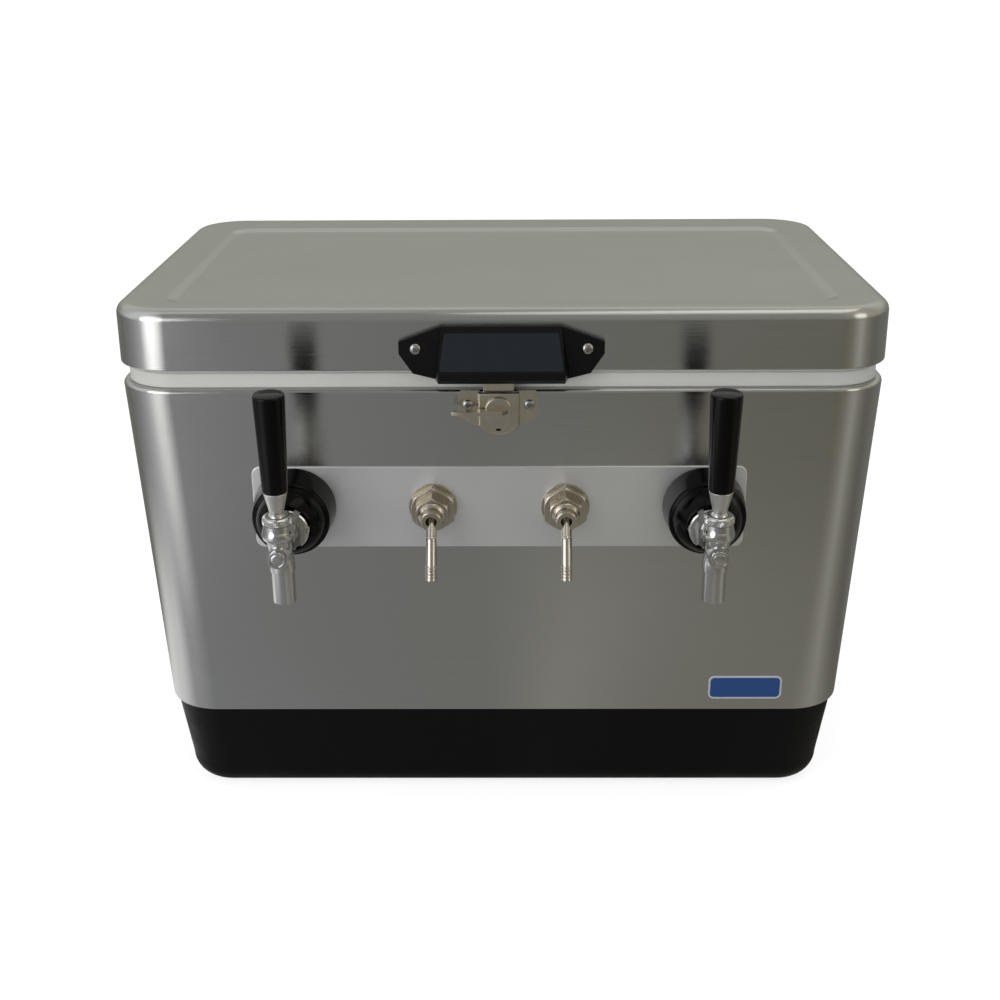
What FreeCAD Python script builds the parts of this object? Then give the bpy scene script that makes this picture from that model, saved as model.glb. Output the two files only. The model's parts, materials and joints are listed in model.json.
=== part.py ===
import FreeCAD, Part
import Sketcher
import math
import os
import re

# Jockey box: a steel belted ice chest with two beer faucets, two keg line inlets
# and two cooling coils. X runs along the chest, -Y is the front, +Z is up and
# the origin is the middle of the floor it stands on. All sizes are millimetres.

SIZES = {
    # steel belt and the walls of the chest; the walls lean in towards the floor
    "belt_foot_z": 84.3, "belt_top_z": 373.0,
    "belt_foot_length": 582.0, "belt_foot_depth": 372.0,
    "belt_top_length": 609.0, "belt_top_depth": 399.0,
    "plan_radius": 46.0, "belt_sheet": 1.0, "belt_roll": 3.4, "belt_lip": 7.0,
    # moulded base pan
    "pan_foot_length": 552.0, "pan_foot_depth": 342.0, "pan_foot_radius": 38.0,
    "pan_top_length": 577.0, "pan_top_depth": 367.0, "pan_wall": 4.0,
    "pan_bottom_round": 21.0, "pan_collar": 14.0,
    "pan_recess_length": 195.0, "pan_recess_depth": 220.0, "pan_recess_rise": 3.0,
    "pan_rib": 30.0,
    # inner liner and its rim
    "liner_rim_length": 598.0, "liner_rim_depth": 388.0, "liner_rim_z": 385.0,
    "liner_mouth_length": 545.0, "liner_mouth_depth": 335.0,
    "liner_floor_length": 520.0, "liner_floor_depth": 310.0,
    "liner_floor_z": 42.0, "liner_wall": 3.0, "liner_radius": 34.0, "foam_gap": 0.3,
    # lid
    "lid_length": 610.0, "lid_depth": 400.0, "lid_bottom_z": 388.0, "lid_top_z": 436.0,
    "lid_round": 9.0, "lid_sheet": 1.2, "lid_lip": 10.0, "lid_gap": 0.2,
    "lid_recess_length": 532.0, "lid_recess_depth": 322.0, "lid_recess_y": -14.0,
    "lid_recess_drop": 2.2, "lid_recess_slope": 8.0,
    "lid_plug_length": 528.0, "lid_plug_depth": 318.0, "lid_plug_drop": 7.0,
    # front plate and what goes through it
    "plate_length": 394.5, "plate_height": 70.0, "plate_sheet": 1.5, "plate_radius": 7.0,
    "front_x": -2.6, "port_z": 275.0, "tap_x": 163.8, "inlet_x": 53.0,
    "tap_hole": 13.2, "inlet_hole": 10.2, "plate_drop": 1.2,
    # faucet, measured outwards from the front plate and upwards from its bore
    "bell_radius": 33.0, "bell_rim_radius": 30.8, "bell_side": 24.5,
    "bell_front": 44.5, "bell_mouth": 17.6, "bell_seat": 33.0,
    "shank_radius": 11.1, "shank_bore": 4.6, "shank_tail": 84.0, "shank_front": 43.5,
    "nut_radius": 17.0, "nut_front": 48.0, "nut_back": 36.0,
    "barrel_radius": 8.5, "barrel_front": 97.5, "tap_plug_front": 101.0,
    "guide_bore": 5.56, "seat_out": 62.0, "guide_start": 68.0, "land_start": 78.0,
    "lever_out": 86.7, "collar_radius": 12.2, "collar_low": 12.4, "collar_top": 24.4,
    "collar_bore": 8.4, "neck_radius": 9.0,
    "spout_out": 77.5, "spout_radius": 9.0, "spout_bore": 6.4, "spout_bottom": 44.0,
    "lever_pivot": 28.0, "lever_ball": 7.0, "lever_tip": 3.4,
    "cap_nut_radius": 11.3, "cap_nut_top": 31.0,
    "ferrule_bottom": 34.0, "ferrule_top": 50.0, "handle_top": 126.5,
    "handle_foot_radius": 9.5, "handle_head_radius": 11.9,
    # keg line inlets
    "flange_radius": 19.5, "flange_sheet": 2.0, "hex_wide": 34.0, "hex_wide_front": 10.0,
    "hex_small": 25.5, "hex_small_front": 20.0, "collar_front": 32.0,
    "elbow_radius": 4.4, "elbow_wall": 1.2, "elbow_reach": 49.7, "elbow_drop": 42.0,
    # cooling coils
    "coil_radius": 92.0, "coil_tube": 4.0, "coil_low": 66.0, "coil_y": 45.0,
    "strap_width": 12.0, "strap_sheet": 2.0,
    # latch, measured along the front wall from the knob's axis
    "latch_z": 358.6, "housing_half": 16.4, "housing_rise": 6.5, "housing_sheet": 1.5,
    "channel_top": 14.0, "channel_foot": -13.0, "channel_arc": 19.5, "channel_wall": 1.6,
    "ear_half": 31.4, "knob_radius": 10.5, "wing_reach": 37.0,
    "bolt_inner": 9.5, "bolt_outer": 13.5, "keeper_low_z": 364.8,
    # lid grip, measured from its screws' height
    "grip_z": 402.0, "grip_half": 79.0, "grip_ear": 5.0,
    "grip_top": 22.5, "grip_top_out": 5.2, "grip_top_half": 46.0,
    "grip_lip": -10.5, "grip_lip_out": 20.0, "grip_base_half": 53.0, "grip_face_half": 48.6,
    "grip_bottom": -19.6, "grip_foot_out": 16.5, "grip_wall": 3.5,
    "panel_low": -7.6, "panel_high": 17.6, "panel_high_half": 43.2,
    # rear hinges
    "hinge_x": 170.0, "pin_y": 206.0, "pin_z": 382.0, "knuckle": 4.0, "pin_radius": 2.0,
    # side bails
    "bail_z": 300.0, "bail_rod": 3.5, "bail_arm": 66.0, "bail_drop": 45.0,
    "bail_stub": 80.0, "bail_grip": 9.0, "bail_out": 9.0, "bracket_along": 75.0,
    # drain
    "drain_z": 60.0, "boss_face": 289.0, "drain_bore": 6.0, "drain_tube": 9.4,
}

doc = FreeCAD.newDocument("JockeyBox")
sheet = doc.addObject("Spreadsheet::Sheet", "Sizes")
for row, (alias, number) in enumerate(SIZES.items(), start=1):
    sheet.set(f"A{row}", alias)
    sheet.set(f"B{row}", str(number))
    sheet.setAlias(f"B{row}", alias)
doc.recompute()

Vector = FreeCAD.Vector
Placement = FreeCAD.Placement
Rotation = FreeCAD.Rotation
X_AXIS, Y_AXIS, Z_AXIS = Vector(1, 0, 0), Vector(0, 1, 0), Vector(0, 0, 1)
WALL_SLOPE = "(belt_top_length - belt_foot_length) / 2 / (belt_top_z - belt_foot_z)"
subparts = []


# ---------------------------------------------------------------- formulas

def bound(formula):
    """A formula of sheet aliases, as any object's expression writes it."""
    return re.sub(r"\b(?!sqrt)[a-z][a-z_]*", lambda word: "Sizes." + word.group(), str(formula))


def value(formula):
    """The number that a formula of sheet aliases stands for."""
    return float(sheet.evalExpression(bound(formula)))


def bind(obj, **formulas):
    """Tie an object's properties to formulas of sheet aliases."""
    for name, formula in formulas.items():
        obj.setExpression(name, bound(formula))


# ---------------------------------------------------------------- sketches

def new_body(name):
    """An empty body whose solids may lie apart."""
    body = doc.addObject("PartDesign::Body", name)
    body.AllowCompound = True
    return body


def new_sketch(body, plane, offset="0"):
    """A sketch on one of the body's origin planes, moved along its normal."""
    sketch = body.newObject("Sketcher::SketchObject", body.Name + "_sketch")
    support = next(item for item in body.Origin.OriginFeatures if item.Role == plane)
    sketch.AttachmentSupport = [(support, "")]
    sketch.MapMode = "FlatFace"
    sketch.setExpression("AttachmentOffset.Base.z", bound(offset))
    return sketch


def constrain(sketch, kind, arguments, formula):
    """Add a dimension to a sketch and tie it to a formula."""
    index = sketch.addConstraint(Sketcher.Constraint(kind, *arguments, value(formula)))
    name = f"size_{index}"
    sketch.renameConstraint(index, name)
    sketch.setExpression("Constraints." + name, bound(formula))


def arc_through(start, end, radius):
    """The minor arc between two points; a positive radius turns left."""
    chord = end - start
    middle = (start + end) / 2
    height = math.sqrt(max(radius * radius - chord.Length ** 2 / 4, 0))
    left = Vector(-chord.y, chord.x, 0).normalize()
    centre = middle + left * math.copysign(height, radius)
    bulge = (middle - centre).normalize() if height > 1e-9 else left * -math.copysign(1, radius)
    return Part.Arc(start, centre + bulge * abs(radius), end)


def outline(sketch, corners):
    """A closed outline. A corner is (x, y), or (x, y, radius) before an arc."""
    points = [Vector(value(corner[0]), value(corner[1]), 0) for corner in corners]
    count = len(corners)
    first = sketch.GeometryCount
    starts = []
    for index, corner in enumerate(corners):
        start, end = points[index], points[(index + 1) % count]
        if len(corner) == 3:
            radius = value(corner[2])
            arc = arc_through(start, end, radius)
            sketch.addGeometry(arc)
            starts.append(1 if radius > 0 else 2)
        else:
            sketch.addGeometry(Part.LineSegment(start, end))
            starts.append(1)
    for index, corner in enumerate(corners):
        after = (index + 1) % count
        sketch.addConstraint(Sketcher.Constraint(
            "Coincident", first + index, 3 - starts[index], first + after, starts[after]))
        at = (-1, 1, first + index, starts[index])
        constrain(sketch, "DistanceX", at, corner[0])
        constrain(sketch, "DistanceY", at, corner[1])
        if len(corner) == 3:
            size = corner[2] if value(corner[2]) > 0 else f"-({corner[2]})"
            constrain(sketch, "Radius", (first + index,), size)


def rounded_rectangle(sketch, length, depth, radius, x="0", y="0"):
    """A rectangle with round corners about a centre."""
    half, deep, r = f"({length}) / 2", f"({depth}) / 2", f"({radius})"
    left, right = f"({x}) - {half}", f"({x}) + {half}"
    low, high = f"({y}) - {deep}", f"({y}) + {deep}"
    outline(sketch, [
        (f"{left} + {r}", low), (f"{right} - {r}", low, r),
        (right, f"{low} + {r}"), (right, f"{high} - {r}", r),
        (f"{right} - {r}", high), (f"{left} + {r}", high, r),
        (left, f"{high} - {r}"), (left, f"{low} + {r}", r)])


def circle(sketch, radius, x="0", y="0"):
    """A circle about a centre."""
    middle = Vector(value(x), value(y), 0)
    index = sketch.addGeometry(Part.Circle(middle, Z_AXIS, value(radius)))
    constrain(sketch, "DistanceX", (-1, 1, index, 3), x)
    constrain(sketch, "DistanceY", (-1, 1, index, 3), y)
    constrain(sketch, "Radius", (index,), radius)


def hexagon(sketch, across_flats):
    """A regular hexagon about the origin, with two flats upright."""
    corner = f"({across_flats}) / 2 * {1 / math.cos(math.pi / 6):.6f}"
    outline(sketch, [
        (f"{corner} * {math.cos(math.radians(angle)):.6f}",
         f"{corner} * {math.sin(math.radians(angle)):.6f}")
        for angle in range(-30, 330, 60)])


# ---------------------------------------------------------------- features

def settle(feature):
    """Work a new feature out, and make sure that it came out."""
    doc.recompute()
    if {"Invalid", "Error", "Touched"} & set(feature.State) or not feature.Shape.isValid():
        raise ValueError("a feature failed: " + feature.Name)
    return feature


def finish(body, kind, sketch, **formulas):
    """Add a sketch based feature to a body."""
    feature = body.newObject("PartDesign::" + kind, f"{body.Name}_{kind}")
    feature.Profile = sketch
    sketch.Visibility = False
    bind(feature, **formulas)
    return feature


def pad(body, sketch, length, reverse=False, both_ways=False):
    """Raise a sketch by a length."""
    feature = finish(body, "Pad", sketch, Length=length)
    feature.Reversed = reverse
    if both_ways:
        feature.SideType = "Symmetric"
    return settle(feature)


def pocket(body, sketch, length, reverse=False, both_ways=False):
    """Sink a sketch by a length, and make sure that it cuts."""
    doc.recompute()
    before = body.Shape.Volume
    feature = finish(body, "Pocket", sketch, Length=length)
    feature.Reversed = reverse
    if both_ways:
        feature.SideType = "Symmetric"
    settle(feature)
    if body.Shape.Volume > before - 1e-3:
        raise ValueError("a pocket cuts nothing in " + body.Name)
    return feature


def revolve(body, sketch, cut=False):
    """Turn a sketch about its own upright axis."""
    feature = finish(body, "Groove" if cut else "Revolution", sketch)
    feature.ReferenceAxis = (sketch, ["V_Axis"])
    feature.Angle = 360
    return settle(feature)


def loft(body, sections, cut=False):
    """Join rounded rectangles (z, length, depth, radius), in order of height."""
    sketches = []
    for height, length, depth, radius in sections:
        sketch = new_sketch(body, "XY_Plane", height)
        rounded_rectangle(sketch, length, depth, radius)
        sketches.append(sketch)
    feature = finish(body, "SubtractiveLoft" if cut else "AdditiveLoft", sketches[0])
    feature.Sections = sketches[1:]
    feature.Ruled = True
    return settle(feature)


def loft_outlines(body, plane, sections, cut=False):
    """Join outlines of as many corners each, at offsets along a plane's normal."""
    sketches = []
    for offset, corners in sections:
        sketch = new_sketch(body, plane, offset)
        outline(sketch, corners)
        sketches.append(sketch)
    feature = finish(body, "SubtractiveLoft" if cut else "AdditiveLoft", sketches[0])
    feature.Sections = sketches[1:]
    feature.Ruled = True
    return settle(feature)


def fillet(body, feature, radius, chosen):
    """Round the edges of a feature that a test chooses."""
    names = [f"Edge{index}" for index, edge in enumerate(feature.Shape.Edges, start=1)
             if chosen(edge)]
    rounding = body.newObject("PartDesign::Fillet", body.Name + "_Fillet")
    rounding.Base = (feature, names)
    bind(rounding, Radius=radius)
    return settle(rounding)


def flat_at(height):
    """A test for edges that lie level at a height."""
    return lambda edge: max(abs(edge.BoundBox.ZMin - height),
                            abs(edge.BoundBox.ZMax - height)) < 1e-4


def holes_through_front(body, reach="300"):
    """Cut the four ports of the front wall through a hollow body."""
    sketch = new_sketch(body, "XZ_Plane")
    for side in ("", "-"):
        circle(sketch, "tap_hole", f"front_x + {side}tap_x", "port_z")
        circle(sketch, "inlet_hole", f"front_x + {side}inlet_x", "port_z")
    pocket(body, sketch, reach, reverse=True)


def drain_hole(body):
    """Cut the drain's way through the right hand wall."""
    sketch = new_sketch(body, "YZ_Plane", "boss_face + 10")
    circle(sketch, "drain_tube + 0.2", "0", "drain_z")
    pocket(body, sketch, "70")


def turned(name, profile):
    """A lathe part about its own Z axis, from corners of (radius, height)."""
    body = new_body(name)
    sketch = new_sketch(body, "XZ_Plane")
    outline(sketch, profile)
    revolve(body, sketch)
    return body


def pressed(name, corners, thickness, start="0"):
    """A flat part of one thickness, from its outline."""
    body = new_body(name)
    sketch = new_sketch(body, "XY_Plane", start)
    outline(sketch, corners)
    pad(body, sketch, thickness)
    return body


def tube(name, points, bend, radius, wall=None):
    """A round tube or rod along straight runs joined by tangent bends."""
    edges, start = [], points[0]
    for before, corner, after in zip(points, points[1:], points[2:]):
        back = (before - corner).normalize()
        on = (after - corner).normalize()
        half_turn = (math.pi - back.getAngle(on)) / 2
        trim = bend * math.tan(half_turn)
        inward = (back + on).normalize()
        middle = corner + inward * (bend / math.cos(half_turn) - bend)
        edges.append(Part.LineSegment(start, corner + back * trim).toShape())
        edges.append(Part.Arc(corner + back * trim, middle, corner + on * trim).toShape())
        start = corner + on * trim
    edges.append(Part.LineSegment(start, points[-1]).toShape())
    spine = Part.Wire(edges)
    heading = (points[1] - points[0]).normalize()
    shape = None
    for size in (radius, radius - wall if wall else None):
        if size is None:
            continue
        ring = Part.Wire(Part.Circle(points[0], heading, size).toShape())
        solid = spine.makePipeShell([ring], True, False)
        shape = solid if shape is None else shape.cut(solid)
    feature = doc.addObject("Part::Feature", name)
    feature.Shape = shape
    return feature


# ---------------------------------------------------------------- places

def half_span(height, depth=True):
    """How far the chest's wall stands from the middle at a height."""
    foot = "belt_foot_depth" if depth else "belt_foot_length"
    return value(f"{foot} / 2 + ({height} - belt_foot_z) * {WALL_SLOPE}")


WALL_TILT = math.degrees(math.atan(value(WALL_SLOPE)))


def on_wall(turn, height, along=0.0, out=0.0):
    """A frame on a wall: x along it, y up it and z out of it.

    turn is 0 for the front, 180 for the back, 90 for the right and -90 for the left.
    """
    depth = half_span(height, depth=turn in (0, 180))
    spot = Placement(Vector(along, -depth, height), Rotation(X_AXIS, 90 + WALL_TILT))
    spot = spot.multiply(Placement(Vector(0, 0, out), Rotation()))
    return Placement(Vector(), Rotation(Z_AXIS, turn)).multiply(spot)


def on_lid(height):
    """A frame on the lid's front wall: x along it, y up and z forwards."""
    return Placement(Vector(0, -value("lid_depth") / 2, height), Rotation(X_AXIS, 90))


FRONT_X = value("front_x")
PORT_HEIGHT = value("port_z")
PLATE_FRONT = value("plate_sheet")


def port(x):
    """A frame on the front plate, at a port's bore."""
    return on_wall(0, PORT_HEIGHT, FRONT_X + x, PLATE_FRONT)


def at_latch():
    """A frame on the front wall, at the latch knob's axis."""
    return on_wall(0, SIZES["latch_z"], FRONT_X)


def keep(obj, name, placement=None):
    """Name a finished sub-part and put it in its place."""
    obj.Label = name
    if placement is not None:
        obj.Placement = placement
    subparts.append(obj)
    return obj


def keep_group(name, objects):
    """Name several separate solids as one sub-part."""
    group = doc.addObject("Part::Compound", name)
    group.Links = objects
    return keep(group, name)


def keep_pair(name, obj, placement, middle=0.0):
    """Put a piece on the right and its mirror image on the left, as one sub-part."""
    obj.Placement = placement
    return keep_group(name, [obj, mirrored(obj, middle)])


def mirrored(obj, middle=0.0):
    """The mirror image of an object, across an upright plane at an X."""
    twin = doc.addObject("Part::Mirroring", obj.Name + "_twin")
    twin.Source = obj
    twin.Base = Vector(middle, 0, 0)
    twin.Normal = X_AXIS
    return twin


def screws(name, spots, head_radius, head_height, thread_radius, depth, start="0"):
    """A set of screws that share a wall: heads above a face, threads below it."""
    body = new_body(name)
    for radius, length, reverse in ((thread_radius, depth, True),
                                    (head_radius, head_height, False)):
        sketch = new_sketch(body, "XY_Plane", start)
        for x, y in spots:
            circle(sketch, radius, x, y)
        pad(body, sketch, length, reverse=reverse)
    return body


def between(height, low, size_low, high, size_high):
    """A size part way up a straight taper."""
    share = f"(({height}) - ({low})) / (({high}) - ({low}))"
    return f"({size_low}) + (({size_high}) - ({size_low})) * {share}"


# ---------------------------------------------------------------- chest

def pan_section(height, inset, radius):
    """The pan's plan outline at a height, moved in by an inset."""
    sizes = [between(height, "0", f"pan_foot_{side}", "belt_foot_z", f"pan_top_{side}")
             for side in ("length", "depth")]
    return (height, *(f"{size} - 2 * ({inset})" for size in sizes), radius)


def belt_section(height, inset, radius="plan_radius"):
    """The belt's plan outline at a height, moved in by an inset."""
    sizes = [between(height, "belt_foot_z", f"belt_foot_{side}", "belt_top_z", f"belt_top_{side}")
             for side in ("length", "depth")]
    return (height, *(f"{size} - 2 * ({inset})" for size in sizes), f"({radius}) - ({inset})")


def liner_section(height, grow):
    """The liner's inner plan outline at a height, moved out by a growth."""
    sizes = [between(height, "liner_floor_z", f"liner_floor_{side}",
                     "liner_rim_z", f"liner_mouth_{side}")
             for side in ("length", "depth")]
    return (height, *(f"{size} + 2 * ({grow})" for size in sizes), f"liner_radius + ({grow})")


def base_pan():
    """The moulded pan under the belt, with a collar that the belt closes on."""
    body = new_body("base_pan")
    turn = pan_section("pan_bottom_round + 1", "0", "pan_foot_radius")
    foot = new_sketch(body, "XY_Plane")
    rounded_rectangle(foot, *turn[1:])
    block = pad(body, foot, turn[0])
    fillet(body, block, "pan_bottom_round", flat_at(0))
    loft(body, [turn, pan_section("belt_foot_z", "0", "plan_radius")])
    collar_top = "belt_foot_z + pan_collar"
    collar = f"2 * pan_collar * {WALL_SLOPE}"
    loft(body, [("belt_foot_z", "pan_top_length", "pan_top_depth", "plan_radius"),
                (collar_top, f"pan_top_length + {collar}", f"pan_top_depth + {collar}",
                 "plan_radius")])
    boss = new_sketch(body, "YZ_Plane", "boss_face - 10")
    circle(boss, "19", "0", "drain_z")
    pad(body, boss, "10")
    loft(body, [pan_section("pan_wall", "16", "24"), pan_section("22", "pan_wall", "34"),
                pan_section("belt_foot_z", "pan_wall", "plan_radius - pan_wall"),
                pan_section(collar_top, "pan_wall + 1.5", "plan_radius - pan_wall")], cut=True)
    recess = new_sketch(body, "XY_Plane")
    for side in ("", "-"):
        rounded_rectangle(recess, "pan_recess_length", "pan_recess_depth", "30",
                          x=f"{side}(pan_recess_length + pan_rib) / 2")
    pocket(body, recess, "pan_recess_rise", reverse=True)
    drain_hole(body)
    keep(body, "base_pan")


def steel_belt():
    """The drafted steel wrap, turned in at the foot and rolled over at the top."""
    body = new_body("steel_belt")
    shoulder = belt_section("belt_top_z - belt_roll - 1", "0")
    loft(body, [belt_section("belt_foot_z", "0"), shoulder])
    brim = new_sketch(body, "XY_Plane", shoulder[0])
    rounded_rectangle(brim, *shoulder[1:])
    block = pad(body, brim, "belt_roll + 1")
    fillet(body, block, "belt_roll", flat_at(SIZES["belt_top_z"]))
    loft(body, [belt_section("belt_foot_z + belt_sheet", "belt_sheet"),
                belt_section("belt_top_z - 4.5", "belt_sheet"),
                belt_section("belt_top_z - belt_sheet", "belt_sheet + 3")], cut=True)
    foot = new_sketch(body, "XY_Plane", "belt_foot_z")
    rounded_rectangle(foot, "pan_top_length + 0.3", "pan_top_depth + 0.3", "plan_radius")
    pocket(body, foot, "2 * belt_sheet", reverse=True)
    mouth = new_sketch(body, "XY_Plane", "belt_top_z")
    rounded_rectangle(mouth, "belt_top_length - 2 * belt_lip", "belt_top_depth - 2 * belt_lip",
                      "plan_radius - belt_lip")
    pocket(body, mouth, "2 * belt_sheet")
    holes_through_front(body)
    keep(body, "steel_belt")


def inner_liner():
    """The white moulded tub, hung by its rim on the belt."""
    body = new_body("inner_liner")
    floor_under = "liner_floor_z - liner_wall"
    loft(body, [liner_section(floor_under, "liner_wall"),
                liner_section("belt_top_z", "liner_wall")])
    rim = new_sketch(body, "XY_Plane", "belt_top_z")
    rounded_rectangle(rim, "liner_rim_length", "liner_rim_depth", "plan_radius - 5")
    pad(body, rim, "liner_rim_z - belt_top_z")
    tub = loft(body, [liner_section("liner_floor_z", "0"), liner_section("liner_rim_z", "0")],
               cut=True)
    fillet(body, tub, "4", flat_at(SIZES["liner_floor_z"]))
    holes_through_front(body)
    drain_hole(body)
    keep(body, "inner_liner")


def body_foam():
    """Foam that fills the room between the belt, the pan and the liner."""
    body = new_body("body_foam")
    step = "belt_foot_z + pan_collar"
    gap = "pan_wall + foam_gap"
    loft(body, [pan_section("pan_wall", "16.5", "23"), pan_section("22", gap, "33"),
                pan_section("belt_foot_z", gap, "plan_radius - pan_wall"),
                pan_section(step, "pan_wall + 1.9", "plan_radius - pan_wall")])
    loft(body, [belt_section(step, "belt_sheet + foam_gap"),
                belt_section("belt_top_z - 4.7", "belt_sheet + foam_gap"),
                belt_section("belt_top_z - belt_sheet - 0.1", "belt_sheet + foam_gap + 3")])
    loft(body, [liner_section("liner_floor_z - liner_wall", "liner_wall + foam_gap"),
                liner_section("belt_top_z", "liner_wall + foam_gap")], cut=True)
    holes_through_front(body)
    drain_hole(body)
    keep(body, "body_foam")


def front_plate():
    """The flat plate that stiffens the wall behind the four ports."""
    body = new_body("front_plate")
    sketch = new_sketch(body, "XY_Plane")
    rounded_rectangle(sketch, "plate_length", "plate_height", "plate_radius", y="-plate_drop")
    for side in ("", "-"):
        circle(sketch, "shank_radius + 0.15", f"{side}tap_x")
        circle(sketch, "8.2", f"{side}inlet_x")
    pad(body, sketch, "plate_sheet")
    keep(body, "front_plate", on_wall(0, PORT_HEIGHT, FRONT_X))


def badge():
    """A plain rounded plate low on the front."""
    body = new_body("front_badge")
    sketch = new_sketch(body, "XY_Plane")
    rounded_rectangle(sketch, "62", "22", "5")
    pad(body, sketch, "0.8")
    keep(body, "front_badge", on_wall(0, 106, 205))


# ---------------------------------------------------------------- lid

def lid_shell():
    """The pressed steel lid skin, with a shallow panel sunk into its top."""
    body = new_body("lid_shell")
    sketch = new_sketch(body, "XY_Plane", "lid_bottom_z")
    rounded_rectangle(sketch, "lid_length", "lid_depth", "plan_radius")
    block = pad(body, sketch, "lid_top_z - lid_bottom_z")
    fillet(body, block, "lid_round", flat_at(SIZES["lid_top_z"]))
    doc.recompute()
    sketches = []
    for height, inset in (("lid_top_z - lid_recess_drop", "lid_recess_slope"),
                          ("lid_top_z", "0")):
        sketch = new_sketch(body, "XY_Plane", height)
        rounded_rectangle(sketch, f"lid_recess_length - 2 * {inset}",
                          f"lid_recess_depth - 2 * {inset}", f"22 - {inset}",
                          y="lid_recess_y")
        sketches.append(sketch)
    sunk = finish(body, "SubtractiveLoft", sketches[0])
    sunk.Sections = sketches[1:]
    sunk.Ruled = True
    settle(sunk)
    skin = "plan_radius - lid_sheet"
    inner = ("lid_length - 2 * lid_sheet", "lid_depth - 2 * lid_sheet")
    loft(body, [("lid_bottom_z + lid_sheet", *inner, skin),
                ("lid_top_z - lid_round", *inner, skin),
                ("lid_top_z - lid_recess_drop - lid_sheet",
                 *(f"{size} - 12" for size in inner), f"{skin} - 6")], cut=True)
    mouth = new_sketch(body, "XY_Plane", "lid_bottom_z")
    rounded_rectangle(mouth, "lid_length - 2 * lid_lip", "lid_depth - 2 * lid_lip",
                      "plan_radius - lid_lip")
    pocket(body, mouth, "2 * lid_sheet", reverse=True)
    keep(body, "lid_shell")


def lid_liner():
    """The white underside of the lid, with a plug that drops into the tub."""
    body = new_body("lid_liner")
    rim_under = "liner_rim_z + lid_gap"
    plug = new_sketch(body, "XY_Plane", f"{rim_under} - lid_plug_drop")
    rounded_rectangle(plug, "lid_plug_length", "lid_plug_depth", "28")
    block = pad(body, plug, "lid_plug_drop")
    fillet(body, block, "4", flat_at(value(f"{rim_under} - lid_plug_drop")))
    rim = new_sketch(body, "XY_Plane", rim_under)
    rounded_rectangle(rim, "liner_rim_length", "liner_rim_depth", "plan_radius - 5")
    pad(body, rim, "lid_bottom_z - liner_rim_z - lid_gap")
    keep(body, "lid_liner")


def lid_foam():
    """The slab of foam inside the lid."""
    body = new_body("lid_foam")
    sketch = new_sketch(body, "XY_Plane", "lid_bottom_z")
    rounded_rectangle(sketch, "lid_length - 2 * lid_lip - 0.6", "lid_depth - 2 * lid_lip - 0.6",
                      "plan_radius - lid_lip")
    pad(body, sketch, "lid_top_z - lid_recess_drop - lid_sheet - lid_bottom_z - 0.2")
    keep(body, "lid_foam")


def slant(height, out="0"):
    """How far the grip's sloping front stands out at a height."""
    return between(height, "grip_lip", "grip_lip_out", "grip_top", "grip_top_out") + f" + ({out})"


def hood_section(base_half, face_half, out):
    """The grip hood's outline across the chest, from the lid's face outwards."""
    return [(f"-({base_half})", "0"), (base_half, "0"), (face_half, out), (f"-({face_half})", out)]


def lid_grip():
    """The moulded pull on the lid: a hood with drafted ends between two screwed ears."""
    half = ["grip_top_half", "grip_half", "grip_half", "68.5", "grip_face_half"]
    height = ["grip_top", "10.5", "1", "-14.5", "grip_bottom"]
    right = list(zip(half, height))
    left = [(f"-({x})", y) for x, y in reversed(right)]
    body = pressed("lid_grip", right + left, "grip_ear")
    lip = hood_section("grip_base_half", "grip_face_half", "grip_lip_out")
    loft_outlines(body, "XZ_Plane", [
        ("-(grip_top)", hood_section("grip_top_half", "grip_top_half", "grip_top_out")),
        ("-(grip_lip)", lip)])
    loft_outlines(body, "XZ_Plane", [
        ("-(grip_lip)", lip), ("-(grip_lip - 5.5)", lip),
    ])
    hood = loft_outlines(body, "XZ_Plane", [
        ("-(grip_lip - 5.5)", lip),
        ("-(grip_bottom)", hood_section("grip_base_half - 1", "grip_face_half", "grip_foot_out"))])
    fillet(body, hood, "1.4", flat_at(SIZES["grip_lip_out"]))
    hollow = new_sketch(body, "YZ_Plane")
    wall, ceiling = "grip_wall", "grip_top - 6"
    outline(hollow, [("grip_bottom - 3", "-1"), ("grip_bottom - 3", f"grip_foot_out - {wall}"),
                     ("grip_bottom", f"grip_foot_out - {wall}"),
                     ("grip_lip - 4", f"grip_lip_out - {wall}"),
                     ("grip_lip", f"grip_lip_out - {wall}"), (ceiling, slant(ceiling, "-4")),
                     (ceiling, "-1")])
    pocket(body, hollow, "2 * (panel_high_half - 2)", both_ways=True)
    holes = new_sketch(body, "XY_Plane", "-1")
    for side in ("", "-"):
        circle(holes, "2.3", f"{side}66", "5")
    pocket(body, holes, "20", reverse=True)
    sink = new_sketch(body, "YZ_Plane")
    outline(sink, [("panel_low", slant("panel_low", "1")), ("panel_low", slant("panel_low", "-1")),
                   ("panel_high", slant("panel_high", "-1")),
                   ("panel_high", slant("panel_high", "1"))])
    pocket(body, sink, "2 * panel_high_half", both_ways=True)
    keep(body, "lid_grip", on_lid(SIZES["grip_z"]))


def grip_panel():
    """The smooth inlay on the grip's sloping front."""
    body = new_body("grip_panel")
    sketch = new_sketch(body, "YZ_Plane")
    low, high = "panel_low + 0.2", "panel_high - 0.2"
    outline(sketch, [(low, slant(low, "0.1")), (low, slant(low, "-1")),
                     (high, slant(high, "-1")), (high, slant(high, "0.1"))])
    pad(body, sketch, "2 * panel_high_half - 0.5", both_ways=True)
    keep(body, "grip_panel", on_lid(SIZES["grip_z"]))


def grip_screws():
    """Pan head screws through the grip's ears."""
    body = screws("grip_screws", [("66", "5"), ("-66", "5")], "4.5", "2.6", "2.2",
                  "grip_ear + lid_sheet", "grip_ear")
    keep(body, "grip_screws", on_lid(SIZES["grip_z"]))


# ---------------------------------------------------------------- latch

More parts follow.
